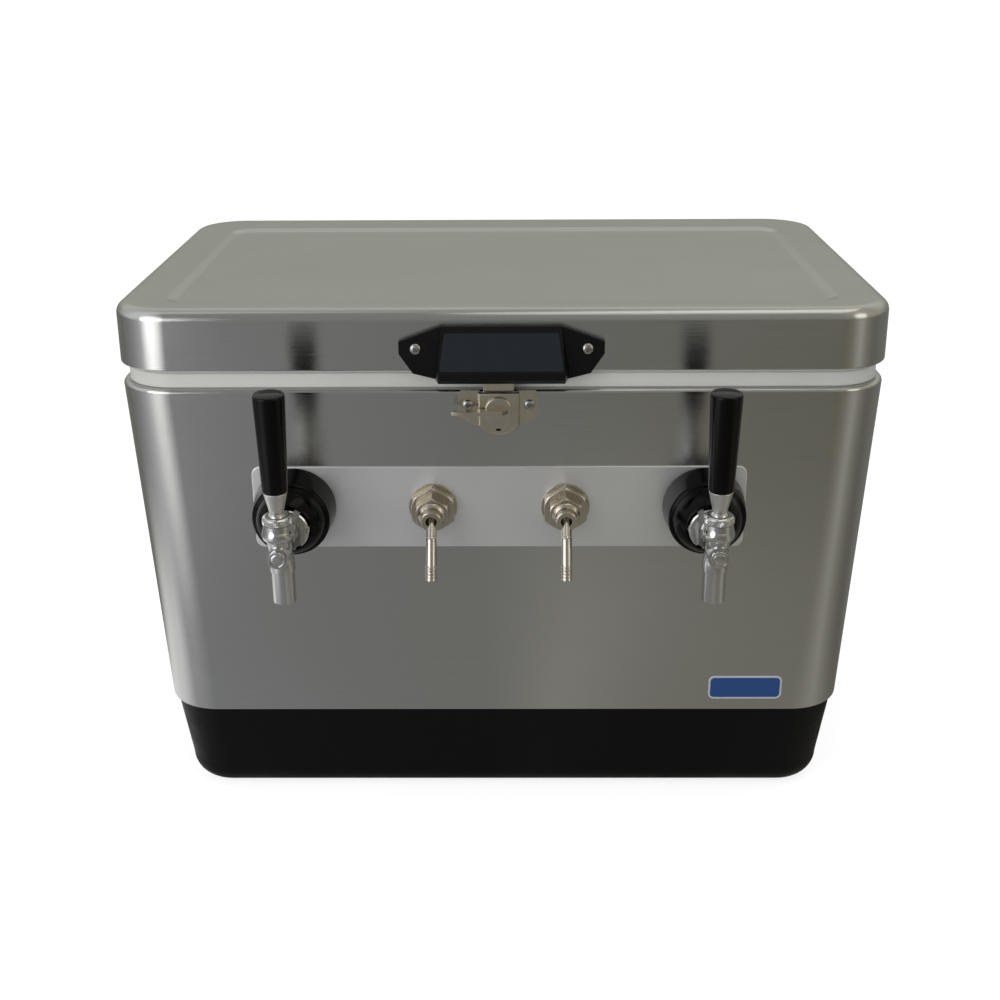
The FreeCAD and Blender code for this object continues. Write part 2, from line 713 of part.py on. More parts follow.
def polar(radius, angle):
    """A point about the knob's axis, as two formulas."""
    return (f"({radius}) * {math.cos(math.radians(angle)):.6f}",
            f"({radius}) * {math.sin(math.radians(angle)):.6f}")


def ring_sector(inner, outer, start, end, lift="0"):
    """The outline of a piece of a ring between two angles, raised by a lift."""
    corners = []
    for radius, angle, turn in ((inner, start, None), (outer, start, outer),
                                (outer, end, None), (inner, end, f"-({inner})")):
        x, y = polar(radius, angle)
        corner = (x, f"{y} + ({lift})")
        corners.append(corner if turn is None else (*corner, turn))
    return corners


def latch_housing():
    """The pressed cover of the latch: two screwed ears and a raised channel."""
    right = [("29", "14"), ("ear_half", "11.6"), ("ear_half", "-6"), ("28.4", "-10"),
             ("housing_half", "-15.6")]
    left = [(f"-{x}", y) for x, y in reversed(right)]
    body = pressed("latch_housing", right + left, "housing_sheet")
    channel = new_sketch(body, "XY_Plane")
    outline(channel, [
        ("-housing_half", "channel_top"), ("-housing_half", "channel_foot", "channel_arc"),
        ("housing_half", "channel_foot"), ("housing_half", "channel_top")])
    raised = pad(body, channel, "housing_rise")
    fillet(body, raised, "2.4", flat_at(SIZES["housing_rise"]))
    inside = new_sketch(body, "XY_Plane")
    half = "housing_half - channel_wall"
    outline(inside, [
        (f"-({half})", "channel_top + 3"),
        (f"-({half})", "channel_foot + 0.3", "channel_arc - channel_wall"),
        (half, "channel_foot + 0.3"), (half, "channel_top + 3")])
    pocket(body, inside, "housing_rise - housing_sheet", reverse=True)
    holes = new_sketch(body, "XY_Plane", "-1")
    circle(holes, "4.05")
    outline(holes, [("-1.3", "-17.6"), ("1.3", "-17.6", "1.1"), ("1.3", "-15.6"),
                    ("-1.3", "-15.6", "1.1")])
    for side in ("", "-"):
        circle(holes, "2.1", f"{side}24", "2.5")
    pocket(body, holes, "10", reverse=True)
    keep(body, "latch_housing", at_latch())


def latch_knob():
    """The knob: a spindle and disc with one tapered wing."""
    body = turned("latch_knob", [
        ("0", "1.5"), ("4", "1.5"), ("4", "6.9"), ("knob_radius", "6.9"),
        ("knob_radius", "8.3"), ("knob_radius - 0.6", "8.9"), ("0", "8.9")])
    wing = new_sketch(body, "XZ_Plane")
    outline(wing, [("7.5", "8.5"), ("7.5", "11"), ("3", "16.5"), ("-27", "18.5"),
                   ("-wing_reach + 1", "16", "2.2"), ("-wing_reach + 1", "12.5"),
                   ("-12", "8.5")])
    pad(body, wing, "3", both_ways=True)
    keep(body, "latch_knob", at_latch())


def latch_bolt():
    """The hooked cam behind the cover, which swings into the keeper's notch."""
    body = new_body("latch_bolt")
    level, thickness = "1.5", "1.8"
    hub = new_sketch(body, "XY_Plane", level)
    circle(hub, "5.6")
    pad(body, hub, thickness)
    hook = new_sketch(body, "XY_Plane", level)
    outline(hook, ring_sector("bolt_inner", "bolt_outer", -65, 5))
    pad(body, hook, thickness)
    arm = new_sketch(body, "XY_Plane", level)
    outline(arm, [polar("4", -78), polar("bolt_outer - 1", -64), polar("bolt_outer - 1", -50),
                  polar("4", -36)])
    pad(body, arm, thickness)
    bore = new_sketch(body, "XY_Plane")
    circle(bore, "4.02")
    pocket(body, bore, "5", reverse=True)
    keep(body, "latch_bolt", at_latch())


def latch_keeper():
    """The lid's strike: a tongue with a curved notch that hangs into the latch."""
    body = new_body("latch_keeper")
    low = "keeper_low_z - grip_z"
    strap = new_sketch(body, "XY_Plane", "0.5")
    rounded_rectangle(strap, "24", "22", "1.5", y="-17.4")
    pad(body, strap, "4.3")
    tongue = new_sketch(body, "XY_Plane", "0.5")
    outline(tongue, [("-6", low), ("6", low), ("6", "-10"), ("13", "-6"), ("13", "8"),
                     ("-13", "8"), ("-13", "-6"), ("-6", "-10")])
    pad(body, tongue, "1.8")
    foot = new_sketch(body, "XY_Plane")
    outline(foot, [("13", "-6"), ("13", "8"), ("-13", "8"), ("-13", "-6")])
    pad(body, foot, "0.5")
    notch = new_sketch(body, "XY_Plane")
    outline(notch, ring_sector("bolt_inner - 0.35", "bolt_outer + 0.35", 25, 106,
                               "latch_z - grip_z"))
    pocket(body, notch, "5", reverse=True)
    spot = on_lid(SIZES["grip_z"])
    spot.Base.x = FRONT_X
    keep(body, "latch_keeper", spot)


def latch_screws():
    """Screws through the cover's ears."""
    body = screws("latch_screws", [("24", "2.5"), ("-24", "2.5")], "4.2", "2.2", "2",
                  "housing_sheet + belt_sheet", "housing_sheet")
    keep(body, "latch_screws", at_latch())


# ---------------------------------------------------------------- hinges

def back_wall(height):
    """The back wall's distance from the middle at a height."""
    return f"belt_foot_depth / 2 + ({height} - belt_foot_z) * {WALL_SLOPE}"


HINGE_HOLES = [(x, y) for x in (-13, 13) for y in (-10, 10)]


def hinge_leaf(name, plate, web, spans, middle):
    """A pair of hinge leaves: a screwed plate about a height, and webbed knuckles."""
    body = new_body(name + "_right")
    sketch = new_sketch(body, "YZ_Plane", "hinge_x")
    outline(sketch, plate)
    pad(body, sketch, "44", both_ways=True)
    for start, length in spans:
        for circular in (False, True):
            sketch = new_sketch(body, "YZ_Plane", f"hinge_x + {start}")
            if circular:
                circle(sketch, "knuckle", "pin_y", "pin_z")
            else:
                outline(sketch, web)
            pad(body, sketch, length)
    bore = new_sketch(body, "YZ_Plane", "hinge_x")
    circle(bore, "pin_radius + 0.05", "pin_y", "pin_z")
    pocket(body, bore, "60", both_ways=True)
    holes = new_sketch(body, "XZ_Plane")
    for x, y in HINGE_HOLES:
        circle(holes, "2.3", f"hinge_x + {x}", f"{middle} + {y}")
    pocket(body, holes, "250")
    keep_pair(name, body, Placement())


def hinges():
    """Two butt hinges at the back, with their pins and screws."""
    hinge_leaf("hinge_leaves_chest",
               [(back_wall("328"), "328"), (f"{back_wall('328')} + 2", "328"),
                (f"{back_wall('370')} + 2", "370"), (back_wall("370"), "370")],
               [(back_wall("364"), "364"), (f"{back_wall('366')} + 2", "366"),
                ("pin_y + 3.2", "pin_z - 2.4"), ("pin_y - 3.2", "pin_z - 2.4"),
                (back_wall("371"), "371")],
               [("9.4", "12.6"), ("-22", "12.6")], 348)
    lid_back = "lid_depth / 2"
    hinge_leaf("hinge_leaves_lid",
               [(lid_back, "394"), (f"{lid_back} + 2", "394"),
                (f"{lid_back} + 2", "430"), (lid_back, "430")],
               [(lid_back, "390.5"), ("pin_y - 3.2", "pin_z + 2.4"),
                ("pin_y + 3.2", "pin_z + 2.4"), (f"{lid_back} + 2", "399"), (lid_back, "399")],
               [("-9", "18")], 413)
    pin = turned("hinge_pin", [("0", "-22"), ("pin_radius", "-22"), ("pin_radius", "22"),
                               ("knuckle - 0.4", "22"), ("knuckle - 0.4", "23.5"), ("0", "23.5")])
    keep_pair("hinge_pins", pin, Placement(
        Vector(value("hinge_x"), value("pin_y"), value("pin_z")), Rotation(Y_AXIS, 90)))
    spots = [(f"{side}(hinge_x + {x})", y) for side in ("", "-") for x, y in HINGE_HOLES]
    chest = screws("hinge_screws_chest", spots, "3.8", "1.8", "2", "2 + belt_sheet", "2")
    keep(chest, "hinge_screws_chest", on_wall(180, 348))
    lid = screws("hinge_screws_lid", spots, "3.8", "1.8", "2", "2 + lid_sheet", "2")
    keep(lid, "hinge_screws_lid", Placement(Vector(0, value(lid_back), 413), Rotation(Z_AXIS, 180)
                                            * Rotation(X_AXIS, 90)))


# ---------------------------------------------------------------- side handles

def side_handles():
    """Two swinging bails, each on a pair of screwed brackets."""
    height = SIZES["bail_z"]
    wall = on_wall(90, height)
    brackets = new_body("bail_bracket")
    for side in ("", "-"):
        plate = new_sketch(brackets, "XY_Plane")
        rounded_rectangle(plate, "26", "42", "5", x=f"{side}bracket_along")
        for y in ("-15", "15"):
            circle(plate, "2.2", f"{side}bracket_along", y)
        pad(brackets, plate, "2")
        ear = new_sketch(brackets, "YZ_Plane", f"{side}bracket_along - 2")
        outline(ear, [("-7", "1"), ("7", "1"), ("5.6", "bail_out", "5.6"),
                      ("0", "bail_out + 5.6", "5.6"), ("-5.6", "bail_out")])
        pad(brackets, ear, "4")
    bore = new_sketch(brackets, "YZ_Plane")
    circle(bore, "bail_rod + 0.08", "0", "bail_out")
    pocket(brackets, bore, "200", both_ways=True)
    keep_pair("bail_brackets", brackets, wall)
    spots = [(f"{side}bracket_along", y) for side in ("", "-") for y in ("-15", "15")]
    fixings = screws("bail_screw", spots, "4", "2", "2", "2 + belt_sheet", "2")
    keep_pair("bail_screws", fixings, wall)
    pivot = wall.multVec(Vector(0, 0, SIZES["bail_out"]))
    arm, drop, stub = (SIZES[key] for key in ("bail_arm", "bail_drop", "bail_stub"))
    route = [Vector(pivot.x, pivot.y + along, pivot.z + up) for along, up in
             ((stub, 0), (arm, 0), (arm, -drop), (-arm, -drop), (-arm, 0), (-stub, 0))]
    for side, name in ((1, "right"), (-1, "left")):
        points = [Vector(side * point.x, point.y, point.z) for point in route]
        keep(tube(name + "_bail", points, 6, SIZES["bail_rod"]), name + "_bail")
        grip = turned(name + "_bail_grip", [
            ("bail_rod + 0.05", "-50"), ("bail_grip - 1.5", "-50"), ("bail_grip", "-48"),
            ("bail_grip", "48"), ("bail_grip - 1.5", "50"), ("bail_rod + 0.05", "50")])
        keep(grip, name + "_bail_grip", Placement(
            Vector(side * pivot.x, pivot.y, pivot.z - drop), Rotation(X_AXIS, 90)))


# ---------------------------------------------------------------- drain

def drain():
    """The drain: a flanged spout, its nut, and a screw cap with a washer."""
    place = Placement(Vector(SIZES["boss_face"], 0, SIZES["drain_z"]), Rotation(Y_AXIS, 90))
    spout = turned("drain_spout", [
        ("drain_bore", "-38"), ("drain_tube", "-38"), ("drain_tube", "0"), ("16", "0"),
        ("16", "2.4"), ("15.4", "3"), ("drain_tube", "3"), ("drain_tube", "17"),
        ("drain_bore", "17")])
    keep(spout, "drain_spout", place)
    nut = new_body("drain_nut")
    sketch = new_sketch(nut, "XY_Plane", "-38")
    hexagon(sketch, "24")
    circle(sketch, "drain_tube + 0.05")
    pad(nut, sketch, "6")
    keep(nut, "drain_nut", place)
    washer = turned("drain_washer", [("drain_bore", "17.1"), ("9.3", "17.1"), ("9.3", "18.5"),
                                     ("drain_bore", "18.5")])
    keep(washer, "drain_washer", place)
    cap = turned("drain_cap", [
        ("drain_tube + 0.35", "3.6"), ("12.6", "3.6"), ("13.2", "4.6"), ("13.2", "19.5"),
        ("12", "21"), ("0", "21"), ("0", "18.6"), ("drain_tube + 0.35", "18.6")])
    keep(cap, "drain_cap", place)


# ---------------------------------------------------------------- faucets

def lever_frame(x):
    """A frame on a faucet's bore under its lever, with z up the lever."""
    return port(x).multiply(Placement(Vector(0, 0, SIZES["lever_out"]), Rotation(X_AXIS, -90)))


LINER_FACE = between("port_z", "liner_floor_z", "liner_floor_depth / 2", "liner_rim_z",
                     "liner_mouth_depth / 2")
WALL_DEPTH = f"{back_wall('port_z')} + plate_sheet - ({LINER_FACE})"


def back_nut(name, across, bore, thickness):
    """A hexagon nut that closes on the liner behind a port."""
    body = new_body(name)
    sketch = new_sketch(body, "XY_Plane", f"-({WALL_DEPTH}) - 0.2 - {thickness}")
    hexagon(sketch, across)
    circle(sketch, bore)
    pad(body, sketch, thickness)
    return body


def tail_nut(name, across, tail, length):
    """The small nut that joins a cooling tube to the back of a port."""
    body = new_body(name)
    sketch = new_sketch(body, "XY_Plane", f"-({tail}) - {length}")
    hexagon(sketch, across)
    circle(sketch, "coil_tube + 0.15")
    pad(body, sketch, length)
    return body


def faucet_fixings():
    """Bell, shank and nuts that hold each faucet on the wall."""
    place = port(SIZES["tap_x"])
    bore = "shank_radius + 0.2"
    bell = turned("shank_bell", [
        (bore, "0"), ("bell_radius", "0"), ("bell_rim_radius", "bell_side", "4"),
        ("bell_rim_radius - 3.4", "bell_side + 4", "34"), ("bell_mouth + 1.2", "bell_front"),
        ("bell_mouth", "bell_front"), ("bell_mouth", "bell_seat"), (bore, "bell_seat")])
    keep_pair("shank_bells", bell, place, FRONT_X)
    shank = turned("shank", [
        ("shank_bore", "-shank_tail"), ("shank_radius", "-shank_tail"),
        ("shank_radius", "bell_seat"), ("16", "bell_seat"), ("16", "bell_seat + 2.4"),
        ("shank_radius", "bell_seat + 2.4"), ("shank_radius", "shank_front"),
        ("shank_bore", "shank_front")])
    keep_pair("shanks", shank, place, FRONT_X)
    lip = "shank_front + 1.6"
    nut = turned("coupling_nut", [
        ("shank_radius + 0.1", "nut_back"), ("nut_radius", "nut_back"),
        ("nut_radius", "nut_front - 1"), ("nut_radius - 1", "nut_front"), ("9.1", "nut_front"),
        ("9.1", lip), ("shank_radius + 0.1", lip)])
    slot = new_sketch(nut, "XY_Plane", "nut_front")
    outline(slot, [("nut_radius - 2.4", "-2.4"), ("nut_radius + 1", "-2.4"),
                   ("nut_radius + 1", "2.4"), ("nut_radius - 2.4", "2.4")])
    cut = pocket(nut, slot, "5")
    ring = nut.newObject("PartDesign::PolarPattern", "coupling_slots")
    ring.Originals = [cut]
    ring.Axis = (next(item for item in nut.Origin.OriginFeatures if item.Role == "Z_Axis"), [""])
    ring.Angle = 360
    ring.Occurrences = 6
    nut.Tip = ring
    settle(ring)
    keep_pair("coupling_nuts", nut, place, FRONT_X)
    keep_pair("shank_locknuts", back_nut("shank_locknut", "34", bore, "8"), place, FRONT_X)


def faucet_body():
    """The faucet's casting: barrel, collar for the lever, and a spout behind it."""
    body = turned("faucet_body", [
        ("0", "shank_front"), ("10.6", "shank_front"), ("10.6", "shank_front + 1.5"),
        ("8.9", "shank_front + 1.5"), ("8.9", "50"), ("7.9", "56"), ("7.9", "66"),
        ("barrel_radius", "72"), ("barrel_radius", "barrel_front"), ("0", "barrel_front")])
    collar = new_sketch(body, "XY_Plane", "lever_out")
    outline(collar, [
        ("0", "2"), ("neck_radius - 1", "2"), ("neck_radius", "8"),
        ("neck_radius", "collar_low - 1.6"), ("collar_radius - 0.8", "collar_low"),
        ("collar_radius", "collar_low + 1.6"), ("collar_radius", "collar_low + 4.6"),
        ("collar_radius - 0.9", "collar_low + 7"), ("collar_radius - 1.6", "collar_top"),
        ("0", "collar_top")])
    revolve(body, collar)
    spout = new_sketch(body, "XY_Plane", "spout_out")
    outline(spout, [
        ("0", "3.5"), ("0", "-spout_bottom"), ("spout_radius", "-spout_bottom"),
        ("spout_radius", "-9"), ("spout_radius - 1.6", "1"), ("spout_radius - 1.6", "3.5")])
    revolve(body, spout)
    bores = new_sketch(body, "XZ_Plane")
    outline(bores, [
        ("0", "shank_front - 1"), ("spout_bore", "shank_front - 1"), ("spout_bore", "seat_out"),
        ("shank_bore", "seat_out"), ("shank_bore", "guide_start"),
        ("guide_bore", "guide_start"), ("guide_bore", "barrel_front + 1"),
        ("0", "barrel_front + 1")])
    revolve(body, bores, cut=True)
    upright = new_sketch(body, "XY_Plane", "lever_out")
    cup = "lever_pivot - lever_ball - 2.5"
    outline(upright, [("0", cup), ("4.2", cup), ("collar_bore", f"{cup} + 3"),
                      ("collar_bore", "collar_top + 1"), ("0", "collar_top + 1")])
    revolve(body, upright, cut=True)
    mouth = new_sketch(body, "XY_Plane", "spout_out")
    outline(mouth, [("0", "-spout_bottom - 1"), ("spout_bore", "-spout_bottom - 1"),
                    ("spout_bore", "-13"), ("4.4", "-10"), ("4.4", "-2"), ("0", "-2")])
    revolve(body, mouth, cut=True)
    slot = new_sketch(body, "XZ_Plane", f"-({cup}) - 3")
    outline(slot, [("-2.7", "lever_out - 11.7"), ("2.7", "lever_out - 11.7"),
                   ("2.7", "lever_out + 3"), ("-2.7", "lever_out + 3")])
    pocket(body, slot, cup, reverse=True)
    keep_pair("faucet_bodies", body, port(SIZES["tap_x"]), FRONT_X)


def faucet_trim():
    """The front plug of each barrel and the knurled nut that holds the lever's ball."""
    plug = turned("barrel_plug", [
        ("0", "barrel_front"), ("6.75", "barrel_front"), ("6.75", "tap_plug_front - 1"),
        ("5.9", "tap_plug_front"), ("0", "tap_plug_front")])
    keep_pair("barrel_plugs", plug, port(SIZES["tap_x"]), FRONT_X)
    seat = "(lever_ball + 0.08)"
    rise = "(cap_nut_top - lever_pivot)"
    mouth = f"sqrt({seat} * {seat} - {rise} * {rise})"
    nut = turned("lever_nut", [
        ("collar_bore", "collar_top"), ("cap_nut_radius", "collar_top"),
        ("cap_nut_radius", "cap_nut_top - 0.6"), ("cap_nut_radius - 0.6", "cap_nut_top"),
        (mouth, "cap_nut_top", f"-{seat}"), (mouth, f"lever_pivot - {rise}"),
        ("collar_bore", f"lever_pivot - {rise}")])
    keep_pair("lever_nuts", nut, lever_frame(SIZES["tap_x"]), FRONT_X)


def lever_set(side, x):
    """One tap lever with its ferrule and handle, and the plunger it works."""
    place = lever_frame(x)
    lower = "lever_pivot - sqrt(lever_ball * lever_ball - 1.9 * 1.9)"
    upper = "lever_pivot + sqrt(lever_ball * lever_ball - 4 * 4)"
    stem = turned(side + "_lever_stem", [
        ("0", "lever_tip - 2.2", "2.2"), ("2.2", "lever_tip"), ("1.9", "lever_tip + 2"),
        ("1.9", lower, "lever_ball"), ("4", upper), ("4", "ferrule_bottom"),
        ("3", "ferrule_bottom"), ("3", "60"), ("0", "60")])
    keep(stem, side + "_lever_stem", place)
    ferrule = turned(side + "_ferrule", [
        ("3.08", "ferrule_bottom"), ("5.6", "ferrule_bottom"), ("5.9", "ferrule_bottom + 0.5"),
        ("6.2", "ferrule_bottom + 3"), ("handle_foot_radius - 0.4", "ferrule_top"),
        ("3.08", "ferrule_top")])
    keep(ferrule, side + "_ferrule", place)
    handle = turned(side + "_tap_handle", [
        ("3.08", "ferrule_top"), ("handle_foot_radius - 0.5", "ferrule_top"),
        ("handle_foot_radius", "ferrule_top + 0.6"),
        ("handle_head_radius", "handle_top - 2.4", "1.8"),
        ("handle_head_radius - 1.8", "handle_top - 0.6"), ("0", "handle_top"),
        ("0", "62"), ("3.08", "62")])
    keep(handle, side + "_tap_handle", place)
    plunger = turned(side + "_plunger", [
        ("0", "54.5"), ("4.4", "54.5"), ("4.4", "57.4"), ("3.1", "57.4"),
        ("3.1", "land_start - 1"), ("guide_bore - 0.06", "land_start"),
        ("guide_bore - 0.06", "95"), ("0", "95")])
    notch = new_sketch(plunger, "XZ_Plane", "-8")
    outline(notch, [("-7", "lever_out - 2.75"), ("7", "lever_out - 2.75"),
                    ("7", "lever_out + 2.75"), ("-7", "lever_out + 2.75")])
    pocket(plunger, notch, "7.8", reverse=True)
    flat = new_sketch(plunger, "XZ_Plane", "2.6")
    outline(flat, [("-7", "land_start - 2"), ("7", "land_start - 2"), ("7", "96"), ("-7", "96")])
    pocket(plunger, flat, "5", reverse=True)
    keep(plunger, side + "_plunger", port(x))
    seal = turned(side + "_plunger_seal", [("3.15", "57.5"), ("5.9", "57.5"), ("5.9", "61"),
                                           ("5.2", "61.9"), ("3.15", "61.9")])
    keep(seal, side + "_plunger_seal", port(x))


# ---------------------------------------------------------------- keg line inlets

def inlets():
    """Two bulkhead fittings with hose elbows, where the keg lines come in."""
    place = port(SIZES["inlet_x"])
    washer = turned("inlet_washer", [
        ("8.3", "0"), ("flange_radius", "0"), ("flange_radius", "1.3"),
        ("flange_radius - 0.7", "flange_sheet"), ("8.3", "flange_sheet")])
    keep_pair("inlet_washers", washer, place, FRONT_X)
    nut = new_body("inlet_nut")
    sketch = new_sketch(nut, "XY_Plane", "flange_sheet")
    hexagon(sketch, "hex_wide")
    circle(sketch, "8.25")
    pad(nut, sketch, "hex_wide_front - flange_sheet")
    bevel = new_sketch(nut, "XZ_Plane")
    outline(bevel, [("hex_wide / 2 - 0.3", "hex_wide_front"), ("21", "hex_wide_front - 2.6"),
                    ("21", "hex_wide_front + 1"), ("hex_wide / 2 - 0.3", "hex_wide_front + 1")])
    revolve(nut, bevel, cut=True)
    keep_pair("inlet_nuts", nut, place, FRONT_X)
    fitting = turned("inlet_fitting", [
        ("0", "-58"), ("8", "-58"), ("8", "hex_wide_front"), ("11", "hex_wide_front"),
        ("11", "hex_small_front + 0.8"), ("10", "hex_small_front + 2"),
        ("8.5", "hex_small_front + 3"), ("8.5", "collar_front - 0.8"), ("7.8", "collar_front"),
        ("0", "collar_front")])
    flats = new_sketch(fitting, "XY_Plane", "hex_wide_front")
    hexagon(flats, "hex_small")
    pad(fitting, flats, "hex_small_front - hex_wide_front")
    bore = new_sketch(fitting, "XY_Plane", "-59")
    circle(bore, "elbow_radius + 0.05")
    pocket(fitting, bore, "100", reverse=True)
    keep_pair("inlet_fittings", fitting, place, FRONT_X)
    elbow = tube("inlet_elbow", [Vector(0, 0, 22), Vector(0, 0, SIZES["elbow_reach"]),
                                 Vector(0, -SIZES["elbow_drop"], SIZES["elbow_reach"])],
                 14, SIZES["elbow_radius"], SIZES["elbow_wall"])
    keep_pair("inlet_elbows", elbow, place, FRONT_X)
    keep_pair("inlet_locknuts", back_nut("inlet_locknut", "25", "8.25", "7"), place, FRONT_X)


# ---------------------------------------------------------------- cooling

def cooling():
    """Two stainless coils in the tub, their straps and the tubes that join them up."""
    coil_x = value("front_x + inlet_x + coil_radius")
    coil_y, low, bead = (SIZES[key] for key in ("coil_y", "coil_low", "coil_tube"))
    inlet = port(SIZES["inlet_x"])
    to_coil = (coil_y - inlet.multVec(Vector()).y) / math.cos(math.radians(WALL_TILT))
    top = inlet.multVec(Vector(0, 0, -to_coil)).z
    stack = new_body("coil_stack")
    rings = new_sketch(stack, "XY_Plane", "coil_low - coil_tube")
    circle(rings, "coil_radius + coil_tube")
    circle(rings, "coil_radius - coil_tube")
    pad(stack, rings, f"{top:.3f} - coil_low + 2 * coil_tube")
    centre = Placement(Vector(coil_x, coil_y, 0), Rotation())
    keep_pair("cooling_coils", stack, centre, FRONT_X)
    straps = new_body("coil_strap")
    sketch = new_sketch(straps, "XY_Plane", "liner_floor_z")
    edge, width = "(coil_radius + coil_tube)", "strap_width / 2"
    for angle in (40, 140, 270):
        c, s = math.cos(math.radians(angle)), math.sin(math.radians(angle))
        outline(sketch, [(f"({radius}) * {c:.6f} - ({across}) * {s:.6f}",
                          f"({radius}) * {s:.6f} + ({across}) * {c:.6f}")
                         for radius, across in ((edge, f"-{width}"),
                                                (f"{edge} + strap_sheet", f"-{width}"),
                                                (f"{edge} + strap_sheet", width), (edge, width))])
    pad(straps, sketch, f"{top:.3f} + coil_tube - liner_floor_z")
    keep_pair("coil_straps", straps, centre, FRONT_X)
    leave = 39.5
    tap = port(SIZES["tap_x"])
    turn = tap.multVec(Vector(0, 0, -116))
    outer_x = coil_x + SIZES["coil_radius"]
    outlet = tube("outlet_tube", [
        Vector(outer_x, coil_y - leave, low), Vector(outer_x, turn.y, low),
        Vector(outer_x, turn.y, turn.z), turn,
        tap.multVec(Vector(0, 0, -SIZES["shank_tail"] - 1))], 12, bead)
    keep_pair("outlet_tubes", outlet, Placement(), FRONT_X)
    run = tube("inlet_tube", [inlet.multVec(Vector(0, 0, -59)),
                              inlet.multVec(Vector(0, 0, -to_coil + leave))], 1, bead)
    keep_pair("inlet_tubes", run, Placement(), FRONT_X)
    tap_nut = tail_nut("tap_tail_nut", "24", "shank_tail", "11")
    tap_nut.Placement = tap
    keg_nut = tail_nut("keg_tail_nut", "19", "58", "9")
    keg_nut.Placement = inlet
    keep_group("tail_nuts", [tap_nut, mirrored(tap_nut, FRONT_X),
                             keg_nut, mirrored(keg_nut, FRONT_X)])


# ---------------------------------------------------------------- the whole

def export():
    """Check every object, and write each sub-part to its own file."""
    doc.recompute()
    failed = [obj.Name for obj in doc.Objects
              if {"Invalid", "Error"} & set(obj.State)]
    if failed:
        raise ValueError("objects that failed: " + ", ".join(failed))
    os.makedirs("parts", exist_ok=True)
    for part in subparts:
        shape = part.Shape
        if shape.isNull() or not shape.isValid() or shape.Volume <= 0:
            raise ValueError("no sound solid in " + part.Label)
        shape.exportStep(os.path.join("parts", part.Label + ".step"))
        print(f"{part.Label}: {len(shape.Solids)} solid, {shape.Volume / 1000:.2f} cm3")


base_pan()
steel_belt()
inner_liner()
body_foam()
front_plate()
badge()
lid_shell()
lid_liner()
lid_foam()
lid_grip()
grip_panel()
grip_screws()
latch_housing()
latch_knob()
latch_bolt()
latch_keeper()
latch_screws()
hinges()
side_handles()
drain()
faucet_fixings()
faucet_body()
faucet_trim()
for side_name, sign in (("right", 1), ("left", -1)):
    lever_set(side_name, sign * SIZES["tap_x"])
inlets()
cooling()
export()
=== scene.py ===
"""Looks of a jockey box beer cooler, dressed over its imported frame.

The chest is a steel belted ice box with two faucets, two keg line inlets and two cooling
coils. Forms are drawn in millimetres about local frames and stored as meshes in metres.
"""

from __future__ import annotations

import json
import logging
import math
from collections.abc import Callable, Iterable, Sequence
from dataclasses import dataclass, field
from enum import Enum

import bmesh
import bpy
from bpy.types import ID, Material, Mesh, Node, NodeSocket, NodeTree, Object
from mathutils import Matrix, Vector

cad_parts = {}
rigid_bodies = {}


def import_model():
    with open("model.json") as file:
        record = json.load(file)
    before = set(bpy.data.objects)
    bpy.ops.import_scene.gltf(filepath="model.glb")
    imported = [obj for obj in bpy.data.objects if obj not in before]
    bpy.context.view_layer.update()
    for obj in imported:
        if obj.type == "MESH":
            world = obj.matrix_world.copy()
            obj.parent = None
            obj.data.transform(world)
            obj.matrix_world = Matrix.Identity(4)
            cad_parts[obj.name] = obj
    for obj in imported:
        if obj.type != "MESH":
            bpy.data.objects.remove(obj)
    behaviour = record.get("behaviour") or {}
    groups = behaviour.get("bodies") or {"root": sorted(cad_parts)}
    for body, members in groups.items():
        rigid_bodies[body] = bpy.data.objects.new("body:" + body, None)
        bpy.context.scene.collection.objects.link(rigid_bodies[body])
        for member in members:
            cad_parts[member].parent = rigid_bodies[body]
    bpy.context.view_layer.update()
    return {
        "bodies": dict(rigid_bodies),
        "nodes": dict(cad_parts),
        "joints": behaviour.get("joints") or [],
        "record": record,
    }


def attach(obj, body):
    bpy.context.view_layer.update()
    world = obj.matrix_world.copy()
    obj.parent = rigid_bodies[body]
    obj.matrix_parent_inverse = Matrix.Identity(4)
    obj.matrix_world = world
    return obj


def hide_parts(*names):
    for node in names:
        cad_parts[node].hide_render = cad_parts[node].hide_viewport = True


LOG = logging.getLogger("jockey_box")
METRE = 0.001  # one millimetre
SAME_POINT = 0.003  # millimetres within which two points are one
FLAT = 0.6  # degrees within which two faces are one
TURNED = 40.0  # degrees past which an edge of a turned piece stays sharp
TOP_FACE = 0.72  # upward part of a normal past which a face lies on top

Radius = float | Callable[[float], float]
Corner = tuple[float, float]
Triple = tuple[float, float, float]
Stops = tuple[tuple[float, str], ...]
Inputs = dict[str | int, object]


# ---------------------------------------------------------------- forms

